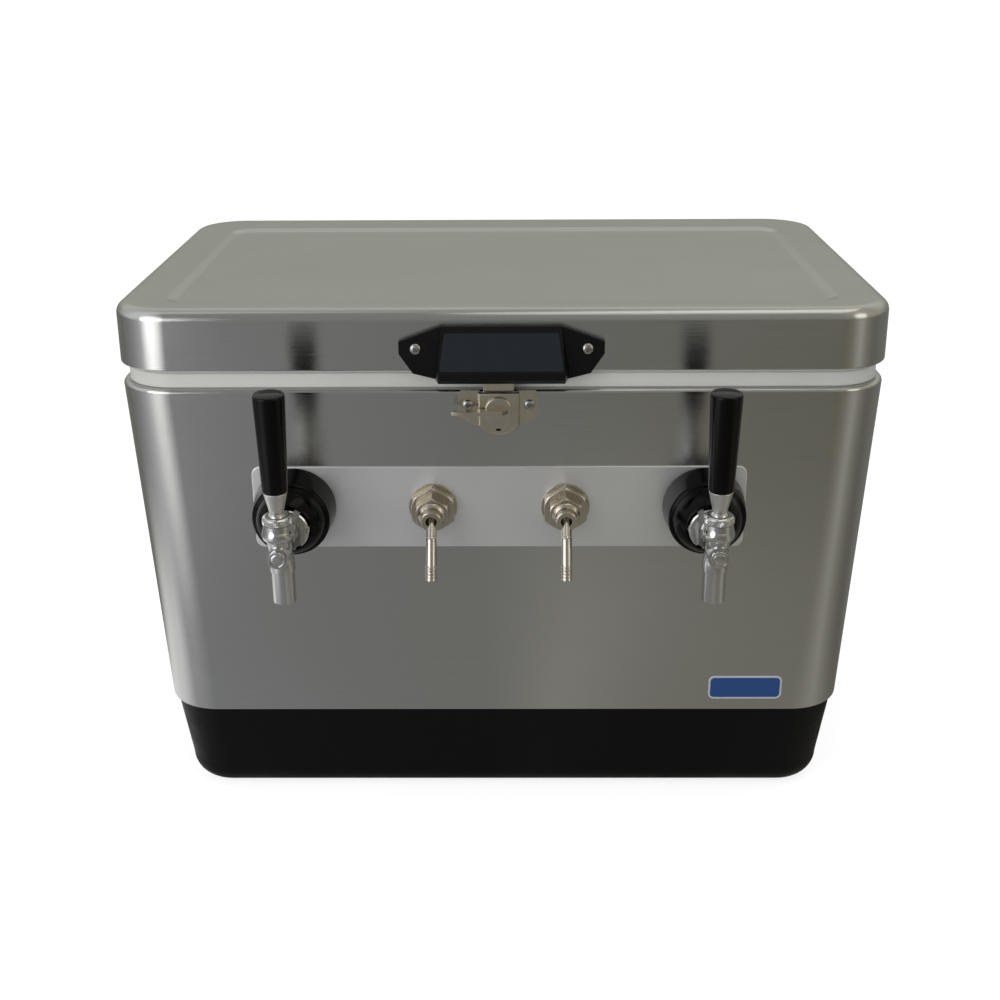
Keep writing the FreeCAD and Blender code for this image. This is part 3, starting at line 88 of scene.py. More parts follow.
@dataclass
class Form:
    """A shape drawn in millimetres.

    Attributes:
        points: Its points.
        faces: The corners of each face, by place in points.
    """

    points: list[Vector] = field(default_factory=list)
    faces: list[tuple[int, ...]] = field(default_factory=list)

    def add(self, points: Iterable[Sequence[float]], faces: Iterable[Sequence[int]]) -> Form:
        """Add points, and faces that count from the first of them.

        Args:
            points: Places in millimetres.
            faces: Corners of each face, by place in points.

        Returns:
            This form.
        """
        start = len(self.points)
        self.points += [Vector(point) for point in points]
        self.faces += [tuple(start + corner for corner in face) for face in faces]
        return self

    def join(self, *others: Form) -> Form:
        """Return this form and others as one.

        Args:
            *others: The other forms.

        Returns:
            The joined form.
        """
        whole = Form()
        for form in (self, *others):
            whole.add(form.points, form.faces)
        return whole

    def moved(self, matrix: Matrix) -> Form:
        """Return this form, placed by a matrix in millimetres."""
        return Form([matrix @ point for point in self.points], list(self.faces))

    def mirrored(self, middle: float = 0.0) -> Form:
        """Return the mirror image across the upright plane at an X."""
        return Form([Vector((2 * middle - point.x, point.y, point.z)) for point in self.points],
                    [tuple(reversed(face)) for face in self.faces])

    def pair(self, middle: float = 0.0) -> Form:
        """Return this form with its mirror image across the upright plane at an X."""
        return self.join(self.mirrored(middle))


def loft(rings: Sequence[Sequence[Vector]], closed: bool = False) -> Form:
    """Skin rings of equal count.

    Args:
        rings: Closed rings of points, in order.
        closed: Join the last ring to the first, instead of capping both.

    Returns:
        The closed form.
    """
    count = len(rings[0])
    faces: list[tuple[int, ...]] = []
    steps = len(rings) if closed else len(rings) - 1
    for step in range(steps):
        low, high = step * count, (step + 1) % len(rings) * count
        faces += [(low + i, low + (i + 1) % count, high + (i + 1) % count, high + i)
                  for i in range(count)]
    if not closed:
        last = (len(rings) - 1) * count
        faces += [tuple(reversed(range(count))), tuple(range(last, last + count))]
    return Form().add([point for ring in rings for point in ring], faces)


def lathe(profile: Sequence[tuple[Radius, float]], steps: int = 64,
          hollow: bool = False) -> Form:
    """Turn a profile about Z.

    Args:
        profile: Radius and height of each ring; a radius may depend on the angle.
        steps: Divisions round the axis.
        hollow: Join the last ring to the first, for a piece with a bore.

    Returns:
        The closed form.
    """
    rings = []
    for radius, height in profile:
        ring = []
        for step in range(steps):
            angle = math.tau * step / steps
            reach = radius(angle) if callable(radius) else max(radius, 0.001)
            ring.append(Vector((reach * math.cos(angle), reach * math.sin(angle), height)))
        rings.append(ring)
    return loft(rings, closed=hollow)


def prism(outline: Sequence[Corner], low: float, high: float) -> Form:
    """Raise a flat outline from one height to another."""
    return loft([[Vector((x, y, z)) for x, y in outline] for z in (low, high)])


def rod(radius: float, low: float, high: float, middle: Corner = (0.0, 0.0),
        steps: int = 32) -> Form:
    """Shape an upright round rod, such as what a drill takes away."""
    return prism(arc(middle, radius, 0, 360, steps)[:-1], low, high)


def arc(centre: Corner, radius: float, start: float, end: float, steps: int = 8) -> list[Corner]:
    """Lay points along an arc, from one angle in degrees to another.

    Args:
        centre: Middle of the arc.
        radius: Its radius.
        start: Angle of its first point.
        end: Angle of its last point.
        steps: Divisions of the arc.

    Returns:
        The points, one more than the divisions.
    """
    return [(centre[0] + radius * math.cos(math.radians(start + (end - start) * i / steps)),
             centre[1] + radius * math.sin(math.radians(start + (end - start) * i / steps)))
            for i in range(steps + 1)]


def hexagon(across_flats: float, limit: float | None = None) -> Callable[[float], float]:
    """Give the radius of a hexagon at an angle, cut back to a turned limit.

    Args:
        across_flats: Size across the flats.
        limit: The radius that the corners are turned down to, if any.

    Returns:
        The radius as a function of the angle.
    """
    def radius(angle: float) -> float:
        """Return the radius at an angle."""
        sixth = math.radians(60)
        reach = across_flats / 2 / math.cos((angle + sixth / 2) % sixth - sixth / 2)
        return reach if limit is None else min(reach, limit)
    return radius


def nut(across_flats: float, bore: float, low: float, high: float, chamfer: float = 1.6,
        both: bool = False) -> Form:
    """Shape a hexagon nut whose corners are turned back at its face.

    Args:
        across_flats: Size across the flats.
        bore: Radius of the hole.
        low: Height of the back face.
        high: Height of the front face.
        chamfer: How far the turned corners run down the nut.
        both: Turn the back face's corners too.

    Returns:
        The nut.
    """
    flat = across_flats / 2
    corner = flat / math.cos(math.radians(30))
    steps = 5
    fronts = [(hexagon(across_flats, flat * 0.985 + (corner - flat * 0.985) * i / steps),
               high - chamfer * (i / steps) ** 1.5) for i in range(steps + 1)]
    backs = [(radius, low + high - height) for radius, height in reversed(fronts)] \
        if both else [(hexagon(across_flats), low)]
    return lathe([(bore, low), *backs, *reversed(fronts), (bore, high)], 96, hollow=True)


def corner_arc(before: Vector, corner: Vector, after: Vector, radius: float,
               steps: int) -> list[Vector]:
    """Round one corner of a line with a tangent arc.

    Args:
        before: The point before the corner.
        corner: The corner.
        after: The point after it.
        radius: Radius of the arc.
        steps: Divisions of the arc.

    Returns:
        The points of the arc.
    """
    back, on = (before - corner).normalized(), (after - corner).normalized()
    half = back.angle(on) / 2
    centre = corner + (back + on).normalized() * radius / math.sin(half)
    start, end = (corner + way * radius / math.tan(half) - centre for way in (back, on))
    return [centre + start.slerp(end, i / steps) for i in range(steps + 1)]


def rounded(corners: Sequence[tuple[float, ...]], steps: int = 6) -> list[Corner]:
    """Round the corners of a flat line; each is (x, y), or (x, y, radius) for a round one.

    Args:
        corners: The corners, in order.
        steps: Divisions of each arc.

    Returns:
        The points of the closed line.
    """
    points = [Vector((x, y, 0)) for x, y, *_ in corners]
    line: list[Vector] = []
    for i, (point, (_, _, *radius)) in enumerate(zip(points, corners)):
        line += corner_arc(points[i - 1], point, points[(i + 1) % len(points)], radius[0],
                           steps) if radius else [point]
    return [(point.x, point.y) for point in line]


def route(corners: Sequence[Vector], bend: float, steps: int = 10) -> list[Vector]:
    """Follow straight runs joined by tangent bends.

    Args:
        corners: The ends and corners of the runs.
        bend: Radius of the bends.
        steps: Divisions of each bend.

    Returns:
        The points of the route.
    """
    path = [corners[0]]
    for before, corner, after in zip(corners, corners[1:], corners[2:]):
        path += corner_arc(before, corner, after, bend, steps)
    return [*path, corners[-1]]


def pipe(path: Sequence[Vector], radius: float, bore: float = 0.0, steps: int = 20) -> Form:
    """Run a round tube or rod along a path.

    Args:
        path: Points of the middle line.
        radius: Outer radius.
        bore: Inner radius, or 0 for a rod.
        steps: Divisions round the tube.

    Returns:
        The closed form.
    """
    headings = [(after - before).normalized()
                for before, after in zip([path[0], *path], [*path[1:], path[-1]])]
    headings[0] = (path[1] - path[0]).normalized()
    side = headings[0].orthogonal().normalized()
    frames = []
    for heading in headings:
        side = (side - heading * side.dot(heading)).normalized()
        frames.append((side, heading.cross(side)))

    def rings(size: float) -> list[list[Vector]]:
        """Lay a ring of one radius at each point of the path."""
        return [[point + (a * math.cos(math.tau * i / steps) + b * math.sin(math.tau * i / steps))
                 * size for i in range(steps)] for point, (a, b) in zip(path, frames)]
    if bore:
        return loft([*rings(radius), *reversed(rings(bore))], closed=True)
    return loft(rings(radius))


def cut(form: Form, cutter: Form) -> Form:
    """Cut one form, in millimetres, out of another.

    Args:
        form: What is cut.
        cutter: What is taken away.

    Returns:
        What is left.
    """
    block = as_object("block", mesh_of("block", form))
    tool = as_object("tool", mesh_of("tool", cutter))
    taken = block.modifiers.new("taken", "BOOLEAN")
    taken.operation = "DIFFERENCE"
    taken.object = tool
    taken.use_self = True
    left = form_of(evaluated_mesh(block))
    bpy.data.objects.remove(block)
    bpy.data.objects.remove(tool)
    return left


@dataclass(frozen=True)
class Plan:
    """A rounded rectangle seen from above, which may widen with height.

    Attributes:
        length: Size along X, at the height where the sizes hold.
        depth: Size along Y there.
        radius: Radius of its corners.
        height: Where the sizes hold.
        slope: How far each side moves out for each unit of height.
        middle: Y of its centre.
        steps: Divisions of each corner.
    """

    length: float
    depth: float
    radius: float
    height: float = 0.0
    slope: float = 0.0
    middle: float = 0.0
    steps: int = 12

    def ring(self, inset: float, height: float) -> list[Vector]:
        """Lay the outline at a height, moved in by an inset.

        Args:
            inset: How far the ring lies inside the outline.
            height: Its height.

        Returns:
            The ring's points, anticlockwise from above.
        """
        grow = 2 * (self.slope * (height - self.height) - inset)
        radius = self.radius - inset
        across, along = ((size + grow) / 2 - radius for size in (self.length, self.depth))
        ring = []
        for quarter, (x, y) in enumerate(((across, along), (-across, along),
                                          (-across, -along), (across, -along))):
            for step in range(self.steps + 1):
                angle = math.radians(90 * (quarter + step / self.steps))
                ring.append(Vector((x + radius * math.cos(angle),
                                    self.middle + y + radius * math.sin(angle), height)))
        return ring

    def rings(self, profile: Sequence[Corner]) -> list[list[Vector]]:
        """Lay a ring at each inset and height of a profile."""
        return [self.ring(inset, height) for inset, height in profile]


def stand(spot: Sequence[float], turn: float = 0.0, axis: str = "X") -> Matrix:
    """Stand a frame at a spot in millimetres, turned by degrees about an axis."""
    return Matrix.Translation(spot) @ Matrix.Rotation(math.radians(turn), 4, axis)


@dataclass(frozen=True)
class Places:
    """Frames on the chest's faces, each with x along it, y up it and z out of it.

    Attributes:
        foot_length: Size of the belt's foot along X.
        foot_depth: Its size along Y.
        foot_height: Its height.
        slope: How far a wall moves out for each unit of height.
        lid_half: How far the lid's front and back lie from the middle.
        front_x: X of the middle of what sits on the front.
        port_height: Height of the ports.
        plate: Thickness of the front plate.
        lever_out: How far a lever's axis stands out of the plate.
    """

    foot_length: float = 582.0
    foot_depth: float = 372.0
    foot_height: float = 84.3
    slope: float = 0.046761
    lid_half: float = 200.0
    front_x: float = -2.6
    port_height: float = 275.0
    plate: float = 1.5
    lever_out: float = 86.7

    def wall(self, turn: float, height: float, along: float = 0.0, out: float = 0.0) -> Matrix:
        """Stand a frame on a wall: turn 0 is the front, 90 the right and 180 the back.

        Args:
            turn: Which wall.
            height: Height of the frame's middle.
            along: How far it lies to the right.
            out: How far it stands out of the wall.

        Returns:
            The frame.
        """
        size = self.foot_depth if turn in (0, 180) else self.foot_length
        reach = size / 2 + (height - self.foot_height) * self.slope
        lean = math.atan(self.slope)
        sine, cosine = math.sin(lean), math.cos(lean)
        front = Matrix(((1, 0, 0, 0), (0, -sine, -cosine, -reach),
                        (0, cosine, -sine, height), (0, 0, 0, 1)))
        return stand((0, 0, 0), turn, "Z") @ front @ stand((along, 0, out))

    def lid(self, height: float) -> Matrix:
        """Stand a frame on the lid's front."""
        return Matrix(((1, 0, 0, 0), (0, 0, -1, -self.lid_half), (0, 1, 0, height), (0, 0, 0, 1)))

    def lid_back(self, height: float) -> Matrix:
        """Stand a frame on the lid's back."""
        return stand((0, 0, 0), 180, "Z") @ self.lid(height)

    def port(self, x: float) -> Matrix:
        """Stand a frame on the front plate, at a port."""
        return self.wall(0, self.port_height, self.front_x + x, self.plate)

    def lever(self, x: float) -> Matrix:
        """Stand a frame on a faucet's bore under its lever, with z up the lever."""
        return self.port(x) @ stand((0, 0, self.lever_out), -90)


# ---------------------------------------------------------------- nodes and trees

def linear(code: str) -> tuple[float, float, float, float]:
    """Turn an sRGB hex colour into linear values.

    Args:
        code: A hash and six hex digits.

    Returns:
        Red, green, blue and a full alpha.
    """
    parts = [int(code[i:i + 2], 16) / 255 for i in (1, 3, 5)]
    red, green, blue = (c / 12.92 if c <= 0.04045 else ((c + 0.055) / 1.055) ** 2.4
                        for c in parts)
    return red, green, blue, 1.0


def connect(node: Node, inputs: Inputs) -> None:
    """Set or link a node's inputs.

    Args:
        node: The node.
        inputs: For each input a value, an output socket to link from, or a node whose first
            live output is linked.
    """
    for name, given in inputs.items():
        if isinstance(given, Node):
            given = next(socket for socket in given.outputs if socket.enabled)
        if isinstance(given, NodeSocket):
            node.id_data.links.new(given, node.inputs[name])
        else:
            node.inputs[name].default_value = given


def add_node(tree: NodeTree, kind: str, inputs: Inputs | None = None,
             **settings: object) -> Node:
    """Add a node with its settings, values and links.

    Args:
        tree: The shader or geometry tree.
        kind: The node's type name.
        inputs: What connect takes.
        **settings: The node's own properties.

    Returns:
        The new node.
    """
    node = tree.nodes.new(kind)
    for name, setting in settings.items():
        setattr(node, name, setting)
    connect(node, inputs or {})
    return node


def per_metre(size_mm: float) -> float:
    """Return the scale at which a pattern on metres has a size in millimetres."""
    return 1 / (size_mm * METRE)


@dataclass(frozen=True)
class Finish:
    """A smooth surface: one colour, with a little cloudiness in its gloss.

    Attributes:
        name: The real material and how its surface was made.
        colour: sRGB hex colour.
        roughness: Mean roughness.
        cloud: How far the roughness wanders from its mean.
        cloud_mm: Size of the clouds.
        metallic: 1 for a bare metal.
        ior: Refractive index, for what is no metal.
        coat: Strength of a clear coat.
        coat_roughness: Its roughness.
        specular: Strength of the plain gloss of what is no metal.
        anisotropy: How far highlights stretch across the brushing.
    """

    name: str
    colour: str
    roughness: float
    cloud: float = 0.04
    cloud_mm: float = 25.0
    metallic: float = 0.0
    ior: float = 1.5
    coat: float = 0.0
    coat_roughness: float = 0.05
    specular: float = 0.5
    anisotropy: float = 0.0

    def material(self) -> Material:
        """Return the finish as a material, built at its first use.

        Returns:
            The material.
        """
        found = bpy.data.materials.get(self.name)
        if found:
            return found
        material = bpy.data.materials.new(self.name)
        material.use_nodes = True
        material.diffuse_color = linear(self.colour)
        tree = material.node_tree
        shader = tree.nodes["Principled BSDF"]
        connect(shader, {
            "Base Color": linear(self.colour), "Metallic": self.metallic,
            "Coat Weight": self.coat, "Coat Roughness": self.coat_roughness,
            "Anisotropic": self.anisotropy})
        if not self.metallic:
            connect(shader, {"IOR": self.ior, "Specular IOR Level": self.specular})
        self.dress(tree, shader, add_node(tree, "ShaderNodeTexCoord").outputs["Object"])
        return material

    def dress(self, tree: NodeTree, shader: Node, place: NodeSocket) -> None:
        """Draw the surface's pattern.

        Args:
            tree: The material's tree.
            shader: Its Principled BSDF.
            place: Object coordinates in metres.
        """
        noise = add_node(tree, "ShaderNodeTexNoise", {
            "Vector": place, "Scale": per_metre(self.cloud_mm), "Detail": 3.0})
        self.cloud_gloss(tree, shader, noise, (0.3, 0.7))

    def cloud_gloss(self, tree: NodeTree, shader: Node, pattern: Node, span: Corner) -> None:
        """Let the roughness follow a pattern.

        Args:
            tree: The material's tree.
            shader: Its Principled BSDF.
            pattern: The node that draws the pattern.
            span: The values between which the pattern mostly lies.
        """
        gloss = add_node(tree, "ShaderNodeMapRange", {
            "Value": pattern, "From Min": span[0], "From Max": span[1],
            "To Min": max(self.roughness - self.cloud, 0.02),
            "To Max": self.roughness + self.cloud})
        connect(shader, {"Roughness": gloss})

    def tint_by(self, tree: NodeTree, shader: Node, pattern: Node, share: float) -> None:
        """Darken and lighten the colour where a pattern is low and high.

        Args:
            tree: The material's tree.
            shader: Its Principled BSDF.
            pattern: The node that draws the pattern.
            share: The greatest change, as a share of the colour.
        """
        dark, light = ((*(min(part * (1 + way), 1.0) for part in linear(self.colour)[:3]), 1.0)
                       for way in (-share, share))
        shade = add_node(tree, "ShaderNodeMix", {0: pattern, 6: dark, 7: light},
                         data_type="RGBA")
        connect(shader, {"Base Color": shade})


@dataclass(frozen=True)
class BrushedSteel(Finish):
    """Stainless sheet brushed along one way, so its highlights smear across it.

    Attributes:
        line_mm: Spacing of the brush lines, drawn coarser than the real 0.1 mm.
        line_depth: Strength of the lines' relief, and its height in millimetres.
        run_mm: Length of a brush line.
        sag_mm: Size of the sheet's soft hollows.
        sag_depth_mm: Depth of the hollows.
        tint: How far single lines lighten or darken.
    """

    line_mm: float = 0.7
    line_depth: Corner = (0.7, 0.1)
    run_mm: float = 90.0
    sag_mm: float = 160.0
    sag_depth_mm: float = 1.2
    tint: float = 0.06

    def dress(self, tree: NodeTree, shader: Node, place: NodeSocket) -> None:
        """Draw brush lines along the piece's own UV map, and the sheet's slight hollows.

        Args:
            tree: The material's tree.
            shader: Its Principled BSDF.
            place: Object coordinates in metres.
        """
        flat = add_node(tree, "ShaderNodeUVMap", uv_map="UVMap")
        lines_at = add_node(tree, "ShaderNodeMapping", {
            "Vector": flat, "Scale": (per_metre(self.run_mm), per_metre(self.line_mm), 1.0)})
        lines = add_node(tree, "ShaderNodeTexNoise", {
            "Vector": lines_at, "Scale": 1.0, "Detail": 2.0, "Roughness": 0.6})
        clouds = add_node(tree, "ShaderNodeTexNoise", {
            "Vector": place, "Scale": per_metre(self.cloud_mm), "Detail": 2.0})
        mixed = add_node(tree, "ShaderNodeMath", {0: lines, 1: clouds}, operation="ADD")
        self.cloud_gloss(tree, shader, mixed, (0.7, 1.3))
        self.tint_by(tree, shader, lines, self.tint)
        sag = add_node(tree, "ShaderNodeTexNoise", {
            "Vector": place, "Scale": per_metre(self.sag_mm), "Detail": 1.0})
        hollows = add_node(tree, "ShaderNodeBump", {
            "Height": sag, "Strength": 1.0, "Distance": self.sag_depth_mm * METRE})
        strength, depth = self.line_depth
        brushed = add_node(tree, "ShaderNodeBump", {
            "Height": lines, "Strength": strength, "Distance": depth * METRE,
            "Normal": hollows})
        across = add_node(tree, "ShaderNodeTangent", direction_type="UV_MAP", uv_map="UVMap")
        connect(shader, {"Normal": brushed, "Tangent": across, "Anisotropic Rotation": 0.25})


@dataclass(frozen=True)
class Grained(Finish):
    """A moulded, cast or plated surface with a fine grain in its relief.

    Attributes:
        grain_mm: Size of the grain.
        depth_mm: Height of the grain.
        fleck: How far the grain's tops lighten.
        cells: Draw round cells instead of soft noise.
    """

    grain_mm: float = 1.0
    depth_mm: float = 0.05
    fleck: float = 0.15
    cells: bool = False

    def dress(self, tree: NodeTree, shader: Node, place: NodeSocket) -> None:
        """Draw the grain in relief, colour and gloss.

        Args:
            tree: The material's tree.
            shader: Its Principled BSDF.
            place: Object coordinates in metres.
        """
        super().dress(tree, shader, place)
        spread = {"Vector": place, "Scale": per_metre(self.grain_mm)}
        if self.cells:
            grain = add_node(tree, "ShaderNodeTexVoronoi", spread, feature="SMOOTH_F1")
        else:
            grain = add_node(tree, "ShaderNodeTexNoise", {**spread, "Detail": 3.0})
        relief = add_node(tree, "ShaderNodeBump", {
            "Height": grain, "Strength": 1.0, "Distance": self.depth_mm * METRE})
        connect(shader, {"Normal": relief})
        self.tint_by(tree, shader, grain, self.fleck)


class Finishes(Enum):
    """Every finish of the chest, with the record's slot it comes from."""

    # 430 stainless belt and lid, brushed round the chest: soft upright reflections
    BELT_STEEL = ("satin_stainless", BrushedSteel(
        "brushed_stainless_belt", "#C1C2BF", 0.16, 0.015, 40.0, 1.0, anisotropy=1.0))
    # stainless plate with a finer, paler brush than the belt
    PLATE_STEEL = ("plate_stainless", BrushedSteel(
        "fine_brushed_stainless_plate", "#F0F2F3", 0.52, 0.04, 30.0, 1.0, anisotropy=0.6,
        line_mm=0.5, sag_mm=90.0, tint=0.03))
    # high density polyethylene, moulded, faintly waxy
    WHITE_LINER = ("white_liner", Grained(
        "white_moulded_polyethylene", "#E2E2DE", 0.42, 0.04, 30.0, grain_mm=0.9,
        depth_mm=0.02, fleck=0.02))
    # black polyethylene pan with a pebbled mould texture that hides scuffs
    BLACK_PAN = ("black_pan", Grained(
        "black_pebbled_polyethylene", "#0B0C0E", 0.5, 0.08, 18.0, specular=0.14, grain_mm=1.5,
        depth_mm=0.16, fleck=0.25, cells=True))
    # glass filled nylon, moulded, dull with a fine spark grain
    GRIP_NYLON = ("black_grip", Grained(
        "black_moulded_nylon", "#08080A", 0.34, 0.06, 12.0, specular=0.25, grain_mm=0.7,
        depth_mm=0.03, fleck=0.2))
    # smooth ABS inlay, glossy enough to mirror the room
    GRIP_INLAY = ("dark_panel", Finish(
        "gloss_abs_inlay", "#1A2028", 0.2, 0.05, 14.0, specular=0.4))
    # turned phenolic handle, polished: deep black with narrow, sharp reflections
    HANDLE_PHENOLIC = ("black_handle", Finish(
        "polished_black_phenolic", "#030305", 0.08, 0.02, 20.0, ior=1.6, specular=0.14))
    # moulded ABS bell: black with a soft sheen
    BELL_ABS = ("black_handle", Grained(
        "satin_black_abs", "#030304", 0.16, 0.04, 20.0, specular=0.12, grain_mm=0.8,
        depth_mm=0.008, fleck=0.1))
    # bright chrome over a polished brass casting, with faint casting ripples
    CHROME = ("chrome", Grained(
        "chromed_brass_casting", "#CACAC9", 0.06, 0.02, 9.0, 1.0, grain_mm=5.0,
        depth_mm=0.03, fleck=0.03))
    # chromed parts cut on a lathe, rougher along the knurl
    CHROME_TURNED = ("chrome", Finish("chromed_turned_brass", "#CACAC8", 0.11, 0.04, 5.0, 1.0))
    # aluminium turned with a fine feed: a broad soft highlight
    FERRULE = ("satin_ferrule", Finish("satin_turned_aluminium", "#D6D6D2", 0.36, 0.05, 4.0, 1.0))
    # nickel plate on machined brass: warm grey, a little dull
    NICKEL = ("nickel_brass", Grained(
        "nickel_plated_brass", "#BDB5A6", 0.25, 0.06, 8.0, 1.0, grain_mm=2.5,
        depth_mm=0.03, fleck=0.05))
    # drawn tube of the elbows: the same nickel, brighter than on the fittings
    NICKEL_TUBE = ("nickel_brass", Finish("nickel_plated_tube", "#C6C0B6", 0.17, 0.05, 8.0, 1.0))
    # pressed steel latch, satin nickel plated and tumbled
    LATCH_NICKEL = ("warm_nickel", Grained(
        "satin_nickel_latch", "#CFC7B6", 0.24, 0.06, 7.0, 1.0, grain_mm=1.6, depth_mm=0.02,
        fleck=0.05))
    # the keeper's passivated zinc, as warm as the latch
    KEEPER_ZINC = ("zinc_steel", Grained(
        "passivated_zinc_keeper", "#CEC5B2", 0.34, 0.06, 7.0, 1.0, grain_mm=1.6, depth_mm=0.02,
        fleck=0.05))
    # zinc plate on the hinges, brackets and bolt: cool grey, a little cloudy
    ZINC = ("zinc_steel", Grained(
        "bright_zinc_plate", "#A2A4A4", 0.32, 0.08, 6.0, 1.0, grain_mm=2.0, depth_mm=0.02,
        fleck=0.06))
    # small pressed heads, zinc plated: bright but cloudy
    SCREW_ZINC = ("zinc_screws", Finish("zinc_plated_screw", "#ADADAB", 0.25, 0.06, 3.0, 1.0))
    # drawn rod under chrome: long clear highlights
    ROD = ("bright_rod", Finish("chromed_steel_rod", "#B5B5B5", 0.16, 0.04, 12.0, 1.0))
    # drawn stainless tube, dull from its annealing
    COIL_TUBE = ("coil_stainless", Grained(
        "drawn_stainless_tube", "#9A9A98", 0.28, 0.06, 20.0, 1.0, grain_mm=3.0,
        depth_mm=0.02, fleck=0.05))
    # stainless turned on a lathe: plain grey with a soft gloss
    PLUNGER_STEEL = ("plunger_steel", Finish("turned_stainless", "#A6A6A6", 0.28, 0.05, 4.0, 1.0))
    # moulded nitrile rubber: dull, dark grey rather than black
    RUBBER = ("black_rubber", Grained("black_nitrile_rubber", "#17171A", 0.7, 0.06, 8.0,
                                      grain_mm=0.8, depth_mm=0.02, fleck=0.1))
    # polyurethane foam, cast in place, open cells at its skin
    FOAM = ("foam", Grained("cast_polyurethane_foam", "#DCC892", 0.85, 0.05, 12.0, grain_mm=2.2,
                            depth_mm=0.25, fleck=0.12, cells=True))
    # nylon strap as moulded: milky white, faintly grained
    STRAP = ("white_strap", Grained("natural_nylon_strap", "#D6D4CC", 0.45, 0.05, 10.0,
                                    grain_mm=1.0, depth_mm=0.03, fleck=0.04))
    # enamel under a clear coat: an even blue with a glassy gloss
    BADGE_FACE = ("blue_badge", Finish("blue_enamel", "#1C4B8C", 0.22, 0.04, 12.0, coat=0.5))
    # painted border, pale and smooth
    BADGE_EDGE = ("blue_badge", Finish("pale_badge_border", "#C9CED6", 0.3, 0.04, 12.0))

    @property
    def slot(self) -> str:
        """Name the record's material slot."""
        return self.value[0]

    @property
    def material(self) -> Material:
        """Return the finish's material."""
        return self.value[1].material()


# ---------------------------------------------------------------- making pieces

def evaluated_mesh(obj: Object) -> Mesh:
    """Return what an object's modifiers make of it, as a mesh of its own."""
    graph = bpy.context.evaluated_depsgraph_get()
    return bpy.data.meshes.new_from_object(obj.evaluated_get(graph))


def bake(obj: Object) -> None:
    """Make what an object's modifiers do a part of its mesh."""
    obj.data = evaluated_mesh(obj)
    obj.modifiers.clear()


def as_object(name: str, data: ID) -> Object:
    """Put a mesh, lamp or camera in the scene under a name.

    Args:
        name: The object's name.
        data: What it shows.

    Returns:
        The object.
    """
    obj = bpy.data.objects.new(name, data)
    bpy.context.scene.collection.objects.link(obj)
    return obj


def form_of(mesh: Mesh) -> Form:
    """Read a mesh drawn in millimetres back as a form."""
    return Form([vertex.co.copy() for vertex in mesh.vertices],
                [tuple(polygon.vertices) for polygon in mesh.polygons])


def mesh_of(name: str, form: Form, scale: float = 1.0) -> Mesh:
    """Make a form a clean mesh whose faces point outwards.

    Args:
        name: The mesh's name.
        form: Points in millimetres and faces.
        scale: Factor from millimetres to the mesh's unit.

    Returns:
        The mesh, with doubles merged.
    """
    mesh = bpy.data.meshes.new(name)
    mesh.from_pydata([point * scale for point in form.points], [], form.faces)
    shape = bmesh.new()
    shape.from_mesh(mesh)
    bmesh.ops.remove_doubles(shape, verts=shape.verts, dist=SAME_POINT * scale)
    bmesh.ops.recalc_face_normals(shape, faces=shape.faces)
    shape.to_mesh(mesh)
    shape.free()
    return mesh


def lay_uv(mesh: Mesh) -> None:
    """Lay a mesh's UV map in metres, with U level along its walls and along X on top.

    Args:
        mesh: A mesh in metres, which is changed.
    """
    layer = mesh.uv_layers.new(name="UVMap")
    for polygon in mesh.polygons:
        across, deep, up = (abs(part) for part in polygon.normal)
        for loop in polygon.loop_indices:
            x, y, z = mesh.vertices[mesh.loops[loop].vertex_index].co
            layer.data[loop].uv = (x, y) if up > TOP_FACE else (y, z) if across > deep else (x, z)


def polish(name: str, mesh: Mesh, finish: Finishes, edge: float = 0.0,
           sharp: float = 30.0) -> Object:
    """Ease a mesh's edges, weigh its normals and give it its finish.

    Args:
        name: The piece's name.
        mesh: A mesh in metres.
        finish: Its finish.
        edge: Width of the eased edges, in millimetres.
        sharp: Angle in degrees past which an edge is eased, or stays sharp.

    Returns:
        The piece, at the origin.
    """
    piece = as_object(name, mesh)
    if edge:
        ease = piece.modifiers.new("eased edge", "BEVEL")
        ease.width = edge * METRE
        ease.segments = 3
        ease.limit_method = "ANGLE"
        ease.angle_limit = math.radians(sharp)
        bake(piece)
    piece.data.shade_smooth()
    piece.data.set_sharp_from_angle(angle=math.radians(sharp + 10.0))
    piece.modifiers.new("weighed normals", "WEIGHTED_NORMAL").keep_sharp = True
    bake(piece)
    piece.data.name = name
    lay_uv(piece.data)
    piece.data.materials.clear()
    piece.data.materials.append(finish.material)
    return piece


class Body(Enum):
    """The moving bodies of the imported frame."""

    COOLER = "cooler"
    LID = "lid"
    LATCH = "latch_turn"
    RIGHT_LEVER = "right_lever"
    LEFT_LEVER = "left_lever"
    RIGHT_HANDLE = "right_handle"
    LEFT_HANDLE = "left_handle"
    DRAIN_LID = "drain_lid"


